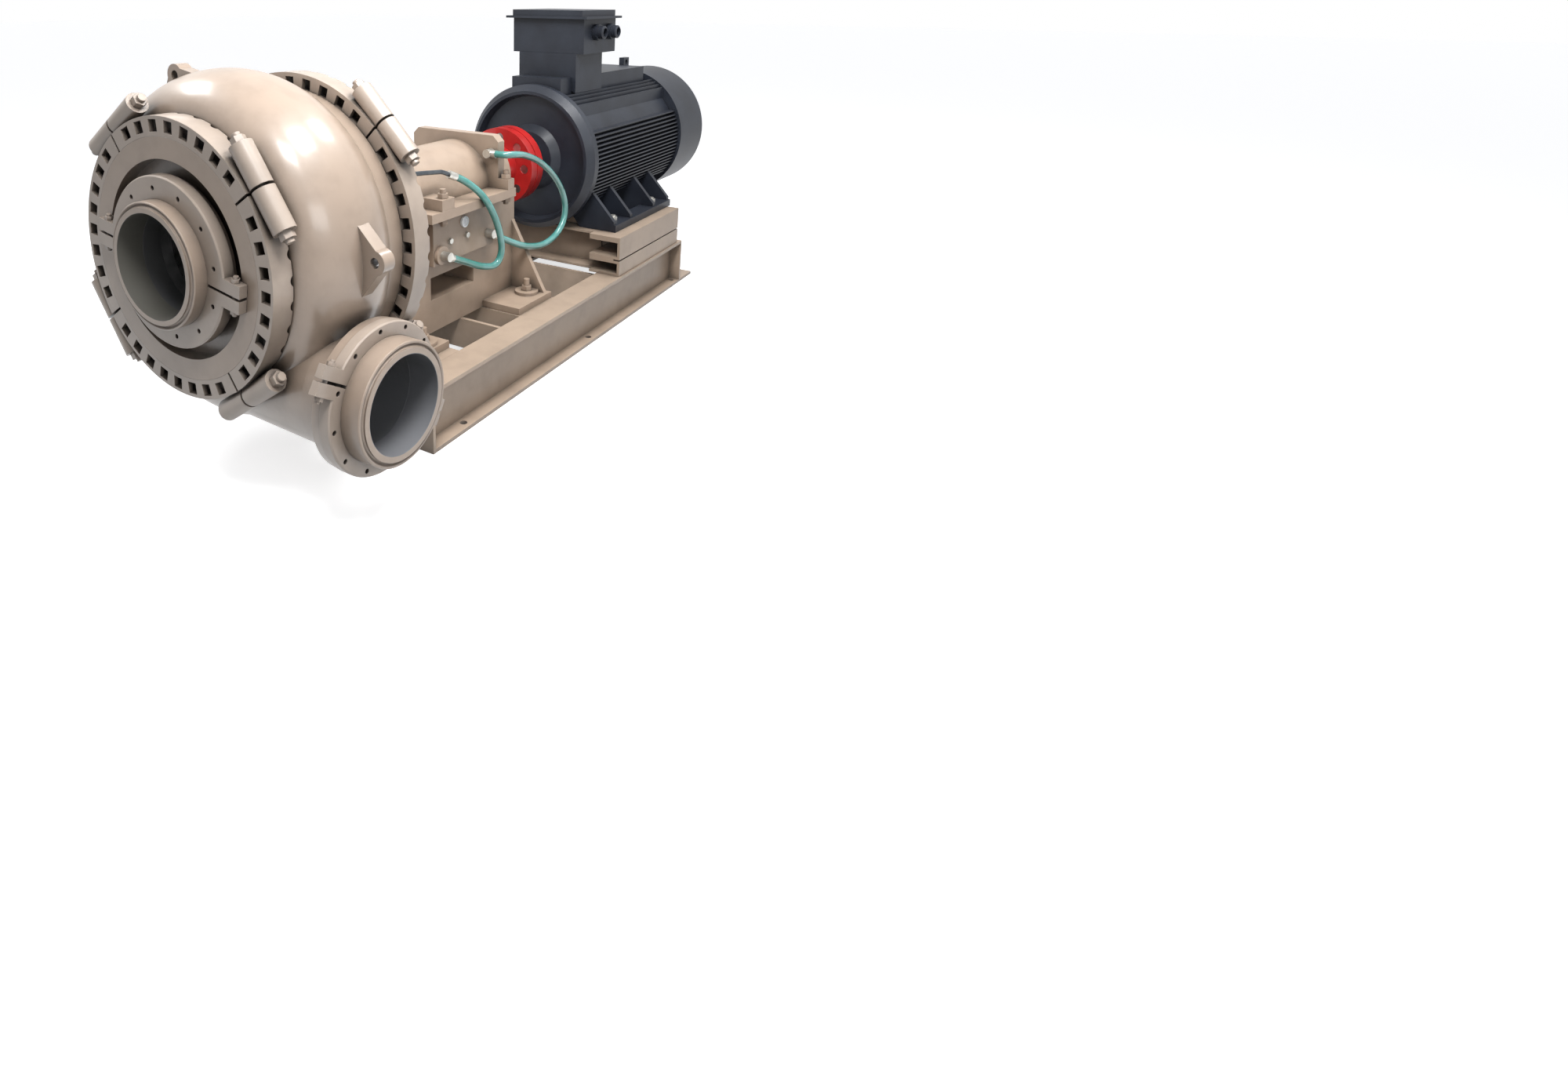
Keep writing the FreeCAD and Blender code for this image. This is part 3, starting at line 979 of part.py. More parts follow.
def hose(label, radius, points):
    """A round hose along a route of straight runs and tangent arcs."""
    path, radii = corner_path(points)
    section = Part.Wire(Part.makeCircle(radius, points[0], points[1] - points[0]))
    shape = path.makePipeShell([section], True, False)
    if shape.Volume < 0:
        shape.reverse()
    runs = [round((b - a).Length) for a, b in zip(points, points[1:])]
    share = shape.Volume / (path.Length * math.pi * radius ** 2)
    print(label, "length", round(path.Length), "bend radii", [round(r) for r in radii], "runs", runs,
          "volume against section times length", round(share, 3))
    node(label, feature(label, shape))


def oil_chest():
    """The chest on the pedestal's side with its boss, sight glass and plugs."""
    chest = box("chest_box", ("cradle_half", shaft_y("chest_at"), "chest_low"),
                ("chest_out - cradle_half", "chest_length", "chest_high - chest_low"))
    boss = cylinder("chest_boss", "boss_radius", "boss_reach + 5", "chest_out - 5", shaft_y("boss_at"),
                    "boss_height", "X")
    node("oil_chest", joined("oil_chest", [chest, boss]))
    ring = [("0", "0"), ("0", "sight_radius"), ("sight_reach", "sight_radius"),
            ("sight_reach", "sight_radius - 6"), ("sight_reach / 2", "sight_radius - 6"),
            ("sight_reach / 2", "0")]
    node("sight_glass", turned("sight_glass", ring, "chest_out", shaft_y("sight_at"), "sight_height", "X"))
    plugs = [hexagon(f"plug_{i}", "plug_radius", "plug_radius", "chest_out",
                     shaft_y(f"plug_at + {i} * plug_pitch"), "plug_height", "X") for i in range(2)]
    node("chest_plugs", group("chest_plugs", plugs))


def leg(start, towards, length, radius):
    """A round stub that points at the hose's next point, and where it ends."""
    way = (towards - start).normalize()
    return Part.makeCylinder(radius, length, start, way), start + way * length


def at(x, y, z):
    """A point whose three places are formulas, along the shaft from the front clamp ring."""
    return Vector(number(x), number(shaft_y(y)), number(z))


def hoses():
    """The seal-water pipe, the two hoses and their metal fittings."""
    radius, reach = number("fitting_radius"), number("fitting_reach")
    around_port = ("cos(water_port_angle)", "sin(water_port_angle)")
    port, out, bend = [at(f"{r} * {around_port[0]}", "water_port_at", f"shaft_height + {r} * {around_port[1]}")
                       for r in ("box_neck", "(box_neck + fitting_reach)", "(box_neck + 90)")]
    water = [at(*point) for point in (
        ("222", "water_port_at + 467", "shaft_height + 65"), ("268", "water_port_at + 520", "shaft_height + 3"),
        ("281", "water_port_at + 570", "shaft_height - 80"), ("281", "water_port_at + 610", "shaft_height - 166"),
        ("275", "water_port_at + 630", "shaft_height - 242"), ("266", "water_port_at + 600", "shaft_height - 291"),
        ("252", "water_port_at + 519", "shaft_height - 272"), ("236", "water_port_at + 443", "shaft_height - 234"))]
    ferrule = at("200", "water_port_at + 400", "shaft_height + 96")
    sleeve, start = leg(ferrule, water[0], 1.4 * reach, radius)
    before = ferrule - (water[0] - ferrule).normalize() * 30
    hose("seal_water_pipe", number("pipe_radius"),
         [out, bend, at("200", "water_port_at + 130", "shaft_height + 138"),
          at("200", "water_port_at + 239", "shaft_height + 127"), before, ferrule])
    boss = at("chest_out + boss_reach + fitting_radius + 2", "boss_at", "boss_height")
    boss_leg, end = leg(boss, water[-1], 1.4 * reach, radius)
    hose("seal_water_hose", number("hose_radius"), [start] + water + [end])
    oil = [at(*point) for point in (
        ("248", "yoke_at - fitting_radius - 2", "oil_top_height"), ("270", "yoke_at + 36", "oil_top_height - 3"),
        ("262", "yoke_at + 112", "oil_top_height - 18"), ("256", "yoke_at + 232", "oil_top_height - 63"),
        ("250", "yoke_at + 366", "oil_top_height - 152"), ("247", "yoke_at + 453", "oil_port_height + 44"),
        ("246", "yoke_at + 463", "oil_port_height - 44"), ("248", "yoke_at + 402", "oil_port_height - 106"),
        ("252", "yoke_at + 272", "oil_port_height - 129"), ("248", "yoke_at + 134", "oil_port_height - 100"),
        ("238", "yoke_at + 36", "oil_port_height - 55"))]
    top = at("yoke_half - 32", "yoke_at - fitting_radius - 2", "oil_top_height")
    top_leg, first = leg(top, top + Vector(1, 0, 0), 1.4 * reach, radius)
    low = at("chest_out + fitting_radius + 2", "oil_port_at", "oil_port_height")
    low_leg, last = leg(low, oil[-1], 1.4 * reach, radius)
    hose("oil_hose", number("hose_radius"), [first] + oil + [last])
    knob = radius + 2
    into = Vector(knob, 0, 0)
    stubs = [Part.makeCylinder(radius, reach, port, (out - port).normalize()), sleeve,
             Part.makeCylinder(knob, 2 * knob, boss - into, into).fuse(boss_leg),
             Part.makeCylinder(knob, 2 * knob, top + Vector(0, knob, 0), Vector(0, -1, 0)).fuse(top_leg),
             Part.makeCylinder(knob, 2 * knob, low - into, into).fuse(low_leg)]
    node("hose_fittings", feature("hose_fittings", Part.makeCompound(stubs)))


# ---------------------------------------------------------------------------------- the coupling
def coupling():
    """Two flanged halves; pins fixed in the motor's half reach into bushed holes in the other."""
    far = "(coupling_at + coupling_wall + coupling_split)"
    pump = [("coupling_at - coupling_length", "pump_journal + seat_gap"),
            ("coupling_at - coupling_length", "coupling_hub"), ("coupling_at", "coupling_hub"),
            ("coupling_at", "coupling_radius"), ("coupling_at + coupling_wall", "coupling_radius"),
            ("coupling_at + coupling_wall", "pump_journal + seat_gap")]
    motor = [(far, "motor_journal + seat_gap"), (far, "coupling_radius"),
             (f"{far} + coupling_wall", "coupling_radius"), (f"{far} + coupling_wall", "coupling_hub"),
             (f"{far} + coupling_wall + coupling_length", "coupling_hub"),
             (f"{far} + coupling_wall + coupling_length", "motor_journal + seat_gap")]
    wide, narrow, pins = [], [], []
    for i in range(int(number("coupling_pins"))):
        x, z = polar("pin_circle", f"{i} * 360 / coupling_pins")
        wide.append(cylinder(f"bush_hole_{i}", "pin_radius + bush_radius_added + seat_gap", "coupling_wall", x,
                             shaft_y("coupling_at"), z, "Y"))
        narrow.append(cylinder(f"pin_hole_{i}", "pin_radius + seat_gap", "coupling_wall", x, shaft_y(far), z, "Y"))
        pin = cylinder(f"pin_{i}", "pin_radius", "2 * coupling_wall + coupling_split - 4 + pin_radius", x,
                       shaft_y("coupling_at + 4"), z, "Y")
        bush = cylinder(f"pin_bush_{i}", "pin_radius + bush_radius_added", "coupling_wall - 6", x,
                        shaft_y("coupling_at + 4"), z, "Y")
        nut = hexagon(f"pin_nut_{i}", "1.7 * pin_radius", "pin_radius", x, shaft_y(f"{far} + coupling_wall"), z, "Y")
        pins.append(joined(f"pin_whole_{i}", [pin, bush, nut]))
    node("pump_coupling_half", cut("pump_coupling_half", turned("pump_half_turned", pump), wide))
    node("motor_coupling_half", cut("motor_coupling_half", turned("motor_half_turned", motor), narrow))
    node("coupling_pins", group("coupling_pins", pins))


# ------------------------------------------------------------------------------------- the motor
def motor_barrel():
    """The finned frame with its feet, deck and lifting eye, cast in one."""
    at = "(shield_at + shield_rim + shield_band)"
    tube = turned("barrel_tube", [(at, "barrel_radius - barrel_wall"), (at, "barrel_radius"),
                                  (f"{at} + barrel_length", "barrel_radius"),
                                  (f"{at} + barrel_length", "barrel_radius - barrel_wall")])
    fins, length = [], "barrel_length"
    for i in range(int(number("side_fins"))):
        rise = f"(side_fin_low + {i} * fin_pitch)"
        reach = f"sqrt(fin_reach ^ 2 - {rise} ^ 2)"
        for name, x in (("right", "0"), ("left", f"-{reach}")):
            fins.append(box(f"side_fin_{i}_{name}", (x, shaft_y(at), f"shaft_height + {rise} - fin_wall / 2"),
                            (reach, length, "fin_wall")))
    for i in range(int(number("top_fins"))):
        across = f"(top_fin_first + {i} * fin_pitch)"
        for name, side in (("right", ""), ("left", "-")):
            fins.append(box(f"top_fin_{i}_{name}", (f"{side}{across} - fin_wall / 2", shaft_y(at), "shaft_height"),
                            ("fin_wall", length, f"sqrt((fin_reach + 8) ^ 2 - {across} ^ 2)")))
    deck = box("deck", ("-deck_half", shaft_y(at), "shaft_height"), ("2 * deck_half", "deck_length", "deck_top - shaft_height"))
    eye = box("eye_plate", ("-14", shaft_y("eye_at"), "shaft_height"), ("28", "60", "deck_top - shaft_height + 38"))
    core = cylinder("barrel_core", "barrel_radius - 2", length, 0, shaft_y(at), "shaft_height", "Y")
    base = "(shaft_height - motor_height)"
    feet = []
    for side, sign in (("right", "1"), ("left", "-1")):
        low = "foot_in" if side == "right" else "-foot_out"
        bar = "foot_out - foot_bar" if side == "right" else "-foot_out"
        feet.append(box(f"foot_bar_{side}", (bar, shaft_y("front_foot"), base),
                        ("foot_bar", "rear_foot + foot_length - front_foot", "foot_thick")))
        for name in ("front_foot", "rear_foot"):
            feet.append(box(f"{name}_pad_{side}", (low, shaft_y(name), base),
                            ("foot_out - foot_in", "foot_length", "foot_thick")))
            web = [("160", f"{base} + 70"), ("foot_in", base), ("foot_out - 10", base),
                   ("foot_out - 10", f"{base} + foot_thick + 14"), ("250", "shaft_height - 120")]
            web = [(f"{sign} * ({a})", b) for a, b in web]
            for place_name, y in (("first", name), ("last", f"{name} + foot_length - foot_rib")):
                feet.append(plate(f"{name}_{side}_{place_name}_rib", "XZ_Plane", web, "foot_rib", 0, shaft_y(y)))
    outside = cut("barrel_outside", joined("barrel_additions", fins + [deck, eye] + feet), [core])
    holes = [cylinder(f"motor_foot_hole_{i}", "motor_bolt + 1", "foot_thick", x, y, base, "Z")
             for i, (x, y) in enumerate(motor_bolt_places())]
    holes.append(cylinder("eye_hole", "eye_hole", 40, "-20", shaft_y("eye_at + 30"), "deck_top + 14", "X"))
    node("motor_frame", cut("motor_frame", joined("frame_rough", [tube, outside]), holes))


def motor_bolt_places():
    """Where the motor's feet are bolted down."""
    return [(f"{side} * motor_bolt_x", shaft_y(f"{foot} + foot_length / 2"))
            for side in (1, -1) for foot in ("front_foot", "rear_foot")]


def motor_bolts():
    """Four bolts through the motor's feet into the rails."""
    top, bolts = "shaft_height - motor_height", []
    for i, (x, y) in enumerate(motor_bolt_places()):
        shank = cylinder(f"motor_shank_{i}", "motor_bolt", "foot_thick + 2 * rail_wall + 3.6 * motor_bolt", x, y,
                         f"{top} - 2 * rail_wall - 1.8 * motor_bolt", "Z")
        nuts = [hexagon(f"motor_nut_{name}_{i}", "1.8 * motor_bolt", "1.2 * motor_bolt", x, y, z, "Z")
                for name, z in (("top", f"{top} + foot_thick"), ("under", f"{top} - 2 * rail_wall - 1.2 * motor_bolt"))]
        bolts.append(joined(f"motor_bolt_{i}", [shank] + nuts))
    node("motor_bolts", group("motor_bolts", bolts))


def motor_shields():
    """The two end shields, which hold the motor's bearings."""
    back = "(shield_at + shield_rim + shield_band)"
    seat = "(motor_bearing + motor_race + seat_gap)"
    bore = "(motor_bearing + 1)"
    front = [("shield_at + 4", bore), ("shield_at + 4", "120"), ("shield_at + shield_recess", "150"),
             ("shield_at + shield_recess", "shield_front - 26"), ("shield_at", "shield_front - 14"),
             ("shield_at", "shield_front"), ("shield_at + shield_rim", "shield_radius"),
             (back, "shield_radius"), (back, "barrel_radius - barrel_wall - 8"),
             (f"{back} - 12", "150"), (f"{back} + 4", "120"), (f"{back} + 4", seat),
             ("shield_at + 24", seat), ("shield_at + 24", bore)]
    node("drive_end_shield", turned("drive_end_shield", front))
    end = f"({back} + barrel_length)"
    rear = [(f"{end} + 36", bore), (f"{end} + 36", "130"), (f"{end} + 30", "shield_radius - cowl_wall - seat_gap"),
            (end, "shield_radius - cowl_wall - seat_gap"), (end, "barrel_radius - barrel_wall - 8"),
            (f"{end} + 14", "150"), (f"{end} - 14", "130"), (f"{end} - 14", seat),
            (f"{end} + 24", seat), (f"{end} + 24", bore)]
    node("fan_end_shield", turned("fan_end_shield", rear))
    return back, end


def motor_inside():
    """Stator, rotor, shaft, fan and bearings."""
    back = "(shield_at + shield_rim + shield_band)"
    end = f"({back} + barrel_length)"
    middle = f"({back} + barrel_length / 2)"
    low, high = f"{middle} - core_length / 2", f"{middle} + core_length / 2"
    stator = [(low, "core_radius + air_gap"), (low, "barrel_radius - barrel_wall - seat_gap"),
              (high, "barrel_radius - barrel_wall - seat_gap"), (high, "core_radius + air_gap")]
    node("stator_core", turned("stator_core", stator))
    rotor = [(low, "motor_shaft_radius + seat_gap"), (low, "core_radius"), (high, "core_radius"),
             (high, "motor_shaft_radius + seat_gap")]
    node("rotor_core", turned("rotor_core", rotor))
    drive, fan = f"({back} + 4)", f"({end} - 14)"
    tip = "coupling_at + coupling_wall + coupling_split"
    fan_at = f"({end} + 50)"
    shaft = [(tip, 0), (tip, "motor_journal"), ("shield_at - 6", "motor_journal"),
             ("shield_at - 6", "motor_bearing"), (drive, "motor_bearing"), (drive, "motor_shaft_radius"),
             (fan, "motor_shaft_radius"), (fan, "motor_bearing"), (f"{end} + 40", "motor_bearing"),
             (f"{end} + 40", "motor_journal - 3"), (f"{fan_at} + fan_width", "motor_journal - 3"),
             (f"{fan_at} + fan_width", 0)]
    node("motor_shaft", turned("motor_shaft", shaft))
    inner, outer = [], []
    race = "(motor_race / 3)"
    for b, at in enumerate((f"({drive} - motor_bearing_width)", fan)):
        stop = f"{at} + motor_bearing_width"
        stop = f"{at} + 38" if b else f"{at} + motor_bearing_width"
        a = "motor_bearing"
        inner.append(turned(f"motor_inner_{b}", [(at, f"{a} + seat_gap"), (at, f"{a} + {race}"),
                                                 (stop, f"{a} + {race}"), (stop, f"{a} + seat_gap")]))
        outer.append(turned(f"motor_outer_{b}", [(at, f"{a} + 2 * {race}"), (at, f"{a} + motor_race"),
                                                 (stop, f"{a} + motor_race"), (stop, f"{a} + 2 * {race}")]))
        for i in range(int(number("rollers"))):
            x, z = polar(f"(motor_bearing + motor_race / 2)", f"{i} * 360 / rollers")
            inner.append(cylinder(f"motor_roller_{b}_{i}", f"{race} / 2 - 0.5", "26", x, shaft_y(f"{at} + 6"), z, "Y"))
    node("motor_bearing_inner_rings", group("motor_bearing_inner_rings", inner))
    node("motor_bearing_outer_rings", group("motor_bearing_outer_rings", outer))
    hub = turned("fan_hub_turned", [(fan_at, "motor_journal - 3 + seat_gap"), (fan_at, "fan_radius * 0.8"),
                                    (f"{fan_at} + 8", "fan_radius * 0.8"), (f"{fan_at} + 8", "fan_hub"),
                                    (f"{fan_at} + fan_width", "fan_hub"),
                                    (f"{fan_at} + fan_width", "motor_journal - 3 + seat_gap")])
    blades = []
    for i in range(int(number("fan_blades"))):
        blade = box(f"blade_{i}", ("0", "0", "0"), ("fan_radius - fan_hub + 4", "fan_width - 4", "6"))
        angle = 360.0 * i / int(number("fan_blades"))
        x, z = polar("(fan_hub - 4)", str(angle))
        place(blade, x, shaft_y(f"{fan_at} + 4"), z, Rotation(Vector(0, 1, 0), -angle))
        blades.append(blade)
    node("cooling_fan", joined("cooling_fan", [hub] + blades))


def fan_cowl():
    """A sheet cowl with a rounded back and a ring of slots."""
    at = "(shield_at + shield_rim + shield_band + barrel_length)"
    stop = f"({at} + cowl_length)"
    out, wall = "shield_radius", "cowl_wall"
    shell = [(at, f"{out} - {wall}"), (at, out), (f"{stop} - cowl_corner", out),
             (f"{stop} - cowl_corner * 0.3", f"{out} - cowl_corner * 0.3"), (stop, f"{out} - cowl_corner"),
             (stop, "0"), (f"{stop} - {wall}", "0"), (f"{stop} - {wall}", f"{out} - cowl_corner - {wall} / 2"),
             (f"{stop} - cowl_corner * 0.3 - {wall}", f"{out} - cowl_corner * 0.3 - {wall}"),
             (f"{stop} - cowl_corner - {wall} / 2", f"{out} - {wall}")]
    slots = []
    for i in range(int(number("grille_slots"))):
        angle = 360.0 * i / int(number("grille_slots"))
        slot = box(f"slot_{i}", ("0", "0", "0"), ("grille_outer - grille_inner", "4 * cowl_wall", "slot_width"))
        x, z = polar("grille_inner", str(angle))
        place(slot, x, shaft_y(f"{stop} - 3 * cowl_wall"), z, Rotation(Vector(0, 1, 0), -angle))
        slots.append(slot)
    node("fan_cowl", cut("fan_cowl", turned("cowl_turned", shell), slots))


def terminal_box():
    """The turret, the box with its cable glands and the lid."""
    turret = box("turret_block", ("-turret_half", shaft_y("turret_at"), "deck_top"),
                 ("2 * turret_half", "turret_length", "turret_top - deck_top"))
    skirt = box("turret_skirt", ("-turret_half", shaft_y("turret_at"), "shaft_height + 240"),
                ("2 * turret_half", "turret_length", "deck_top - shaft_height - 240 + 1"))
    clear = cylinder("turret_clear", "fin_reach + 8 + seat_gap", "turret_length + 20", 0,
                     shaft_y("turret_at - 10"), "shaft_height", "Y")
    over = box("turret_deck_clear", ("-deck_half - seat_gap", shaft_y("turret_at - 1"), "shaft_height"),
               ("2 * (deck_half + seat_gap)", "turret_length + 2", "deck_top - shaft_height"))
    hollow = box("turret_hollow", ("-turret_half + 40", shaft_y("turret_at + 40"), "deck_top - 1"),
                 ("2 * (turret_half - 40)", "turret_length - 80", "turret_top"))
    node("terminal_turret", cut("terminal_turret", joined("turret_rough", [turret, skirt]), [clear, over, hollow]))
    block = box("box_block", ("-box_half", shaft_y("box_front"), "turret_top"),
                ("2 * box_half", "box_length", "box_top - turret_top"))
    inside = box("box_inside", ("-box_half + box_wall", shaft_y("box_front + box_wall"), "turret_top + box_wall"),
                 ("2 * (box_half - box_wall)", "box_length - 2 * box_wall", "box_top"))
    holes, glands = [], []
    for i in range(2):
        y = shaft_y(f"gland_first + {i} * gland_pitch")
        holes.append(cylinder(f"gland_seat_{i}", "cable_bore + 4 + seat_gap", "2 * box_wall", "box_half - 1.5 * box_wall",
                              y, "gland_height", "X"))
        outline = [("-box_wall - 6", "cable_bore"), ("-box_wall - 6", "cable_bore + 4"), ("0", "cable_bore + 4"),
                   ("0", "gland_radius"), ("gland_reach * 0.45", "gland_radius"),
                   ("gland_reach * 0.45", "gland_radius - 7"), ("gland_reach * 0.9", "gland_radius - 7"),
                   ("gland_reach", "gland_radius - 14"), ("gland_reach", "cable_bore")]
        glands.append(turned(f"cable_gland_{i}", outline, "box_half", y, "gland_height", "X"))
    node("terminal_box", cut("terminal_box", block, [inside] + holes))
    node("cable_glands", group("cable_glands", glands))
    lip = box("lid_lip_plate", ("-box_half - lid_edge", shaft_y("box_front - lid_edge"), "box_top"),
              ("2 * (box_half + lid_edge)", "box_length + 1.5 * lid_edge", "lid_lip"))
    crown = box("lid_crown_block", ("-lid_crown", shaft_y("box_front - lid_edge / 2"), "box_top + lid_lip / 2"),
                ("2 * lid_crown", "box_length + lid_edge / 2", "lid_height - lid_lip / 2"))
    node("terminal_lid", joined("terminal_lid", [lip, crown]))


# ------------------------------------------------------------------------------------- write out
beam("right_beam", 1)
beam("left_beam", -1)
for make in (cross_members, motor_base, clamp_rings, volute_casing, covers, pipes, impeller, pump_rotor,
             pedestal, pedestal_fasteners, bearing_housing, oil_chest, hoses, coupling, motor_barrel,
             motor_bolts, motor_shields, motor_inside, fan_cowl, terminal_box):
    make()
screws = seal() + bearings()
node("cap_screws", group("cap_screws", screws))

doc.recompute()
failed = [thing.Label for thing in doc.Objects if {"Invalid", "Error"} & set(thing.State)]
failed += [thing.Label for thing in NODES if thing.Shape.isNull() or not thing.Shape.isValid()]
if failed:
    raise SystemExit("not built: " + ", ".join(failed))
for thing in NODES:
    thing.Shape.exportStep(f"parts/{thing.Label}.step")
    print(thing.Label, len(thing.Shape.Solids), round(thing.Shape.Volume / 1e6, 3))
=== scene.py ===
import math

import bpy
import numpy as np
from mathutils import Matrix, Vector


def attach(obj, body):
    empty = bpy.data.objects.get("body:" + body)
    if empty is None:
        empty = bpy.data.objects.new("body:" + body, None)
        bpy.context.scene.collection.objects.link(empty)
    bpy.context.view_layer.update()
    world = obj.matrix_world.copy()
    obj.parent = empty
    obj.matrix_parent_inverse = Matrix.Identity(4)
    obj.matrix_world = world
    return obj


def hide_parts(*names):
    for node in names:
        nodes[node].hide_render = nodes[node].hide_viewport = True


# A gravel and slurry pump, its bearing pedestal and its motor on a twin-beam skid. Metres, +Z up,
# the shaft along Y at the height of shaft_height, the discharge towards +X.
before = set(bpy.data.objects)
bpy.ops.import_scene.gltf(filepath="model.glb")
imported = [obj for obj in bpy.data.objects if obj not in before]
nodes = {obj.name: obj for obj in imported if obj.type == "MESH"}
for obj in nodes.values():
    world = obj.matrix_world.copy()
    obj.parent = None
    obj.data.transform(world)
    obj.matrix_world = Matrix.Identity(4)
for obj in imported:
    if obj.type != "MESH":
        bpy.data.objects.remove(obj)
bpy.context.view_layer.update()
shaft_height = 0.712
bpy.context.scene.view_settings.view_transform = "Standard"

# --- The camera stands at the pump's wet end, a little above the terminal box, and looks along
# the machine from the discharge side.
eye = Vector((2.0044, -2.9778, 1.4321))
yaw, pitch, roll = math.radians(33.0), math.radians(14.1), math.radians(0.3)
back = Vector((math.sin(yaw) * math.cos(pitch), -math.cos(yaw) * math.cos(pitch), math.sin(pitch)))
level = Vector((math.cos(yaw), math.sin(yaw), 0))
rise = back.cross(level)
right = math.cos(roll) * level + math.sin(roll) * rise
over = back.cross(right)
lens = bpy.data.cameras.new("camera")
lens.sensor_width, lens.lens = 36, 19.354
lens.shift_x, lens.shift_y = 0.17, -0.212
camera = bpy.data.objects.new("camera", lens)
bpy.context.scene.collection.objects.link(camera)
camera.matrix_world = Matrix.Translation(eye) @ Matrix((right, over, back)).transposed().to_4x4()
bpy.context.scene.camera = camera


# --- The two clear hoses: one brings flushing water from the gland pipe to the oil chest's cooler,
# the other joins the chest to the top of the bearing housing. Green braided tube, 27 mm across,
# pushed over metal tails and held with worm clips.
hose_radius = 0.0135
water_points = [(0.2100, -0.6196, 0.7939), (0.222, -0.583, 0.777), (0.268, -0.530, 0.715),
                (0.281, -0.480, 0.632), (0.281, -0.440, 0.546), (0.275, -0.420, 0.470),
                (0.266, -0.450, 0.421), (0.252, -0.531, 0.440), (0.236, -0.607, 0.478),
                (0.236, -0.6809, 0.5101)]
oil_points = [(0.211, -0.367, 0.838), (0.248, -0.367, 0.838), (0.270, -0.314, 0.835),
              (0.262, -0.238, 0.820), (0.256, -0.118, 0.775), (0.250, 0.016, 0.686),
              (0.247, 0.103, 0.582), (0.246, 0.113, 0.494), (0.248, 0.052, 0.432),
              (0.252, -0.078, 0.409), (0.248, -0.216, 0.438), (0.238, -0.314, 0.483),
              (0.2266, -0.3892, 0.5220)]


def shader(name, roughness, metallic=0.0):
    """A new material and its node tree, with the shader's steady values set on it."""
    material = bpy.data.materials.new(name)
    material.use_nodes = True
    tree = material.node_tree
    surface = tree.nodes["Principled BSDF"]
    surface.inputs["Roughness"].default_value = roughness
    surface.inputs["Metallic"].default_value = metallic
    return material, tree, surface


def add(tree, kind, inputs=None, **settings):
    """A node of the given kind. Inputs are values, or sockets to link from."""
    made = tree.nodes.new("ShaderNode" + kind)
    for key, value in settings.items():
        setattr(made, key, value)
    for key, value in (inputs or {}).items():
        if isinstance(value, bpy.types.NodeSocket):
            tree.links.new(value, made.inputs[key])
        else:
            made.inputs[key].default_value = value
    return made


def noise(tree, scale, detail=3.0, stretch=(1, 1, 1)):
    """Noise in the piece's own metres, stretched along an axis."""
    place = add(tree, "TexCoord")
    turned = add(tree, "Mapping", {"Vector": place.outputs["Object"], "Scale": stretch})
    return add(tree, "TexNoise", {"Vector": turned.outputs[0], "Scale": scale, "Detail": detail}).outputs["Fac"]


def ramp(tree, value, *stops):
    """Colour or grey worked out from a value by (place, colour) stops."""
    made = add(tree, "ValToRGB", {"Fac": value})
    points = made.color_ramp.elements
    while len(points) < len(stops):
        points.new(0.5)
    for point, (place, colour) in zip(points, stops):
        point.position = place
        point.color = (*colour, 1) if isinstance(colour, tuple) else (colour, colour, colour, 1)
    return made.outputs["Color"]


def blend_colour(tree, factor, low, high):
    """Low where the factor is 0, high where it is 1."""
    made = add(tree, "Mix", data_type="RGBA")
    for socket, value in ((made.inputs[0], factor), (made.inputs[6], low), (made.inputs[7], high)):
        if isinstance(value, bpy.types.NodeSocket):
            tree.links.new(value, socket)
        else:
            socket.default_value = value if isinstance(value, float) else (*value, 1)
    return made.outputs[2]


def bump(tree, surface, height, strength, distance):
    """Raise the surface by a height from 0 to 1 times the distance in metres."""
    made = add(tree, "Bump", {"Height": height, "Strength": strength, "Distance": distance})
    tree.links.new(made.outputs[0], surface.inputs["Normal"])
    return made


def wear(node_names, material):
    """Give CAD nodes a finish."""
    for name in node_names:
        nodes[name].data.materials.clear()
        nodes[name].data.materials.append(material)


def hose_line(name, points, radius):
    """A round tube along one smooth spline with the route's points as its control points."""
    curve = bpy.data.curves.new(name, "CURVE")
    curve.dimensions = "3D"
    line = curve.splines.new("NURBS")
    line.points.add(len(points) - 1)
    for point, place in zip(line.points, points):
        point.co = (*place, 1)
    line.order_u = 3
    line.use_endpoint_u = True
    line.resolution_u = 12
    curve.bevel_depth = radius
    curve.bevel_resolution = 6
    curve.use_fill_caps = True
    piece = bpy.data.objects.new(name, curve)
    bpy.context.scene.collection.objects.link(piece)
    return piece


tube, tree, surface = shader("green_hose", 0.22)
tint = ramp(tree, noise(tree, 9.0), (0.35, (0.05, 0.27, 0.23)), (0.68, (0.16, 0.42, 0.40)))
tree.links.new(tint, surface.inputs["Base Color"])
surface.inputs["Transmission Weight"].default_value = 0.25
surface.inputs["Coat Weight"].default_value = 0.6
surface.inputs["Coat Roughness"].default_value = 0.08
bump(tree, surface, noise(tree, 240.0), 0.15, 0.0004)

water_hose = hose_line("water_hose", water_points, hose_radius)
oil_loop = hose_line("oil_loop", oil_points, hose_radius)
for piece, node, points in ((water_hose, "seal_water_hose", water_points), (oil_loop, "oil_hose", oil_points)):
    piece.data.materials.append(tube)
    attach(piece, "frame")
    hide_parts(node)

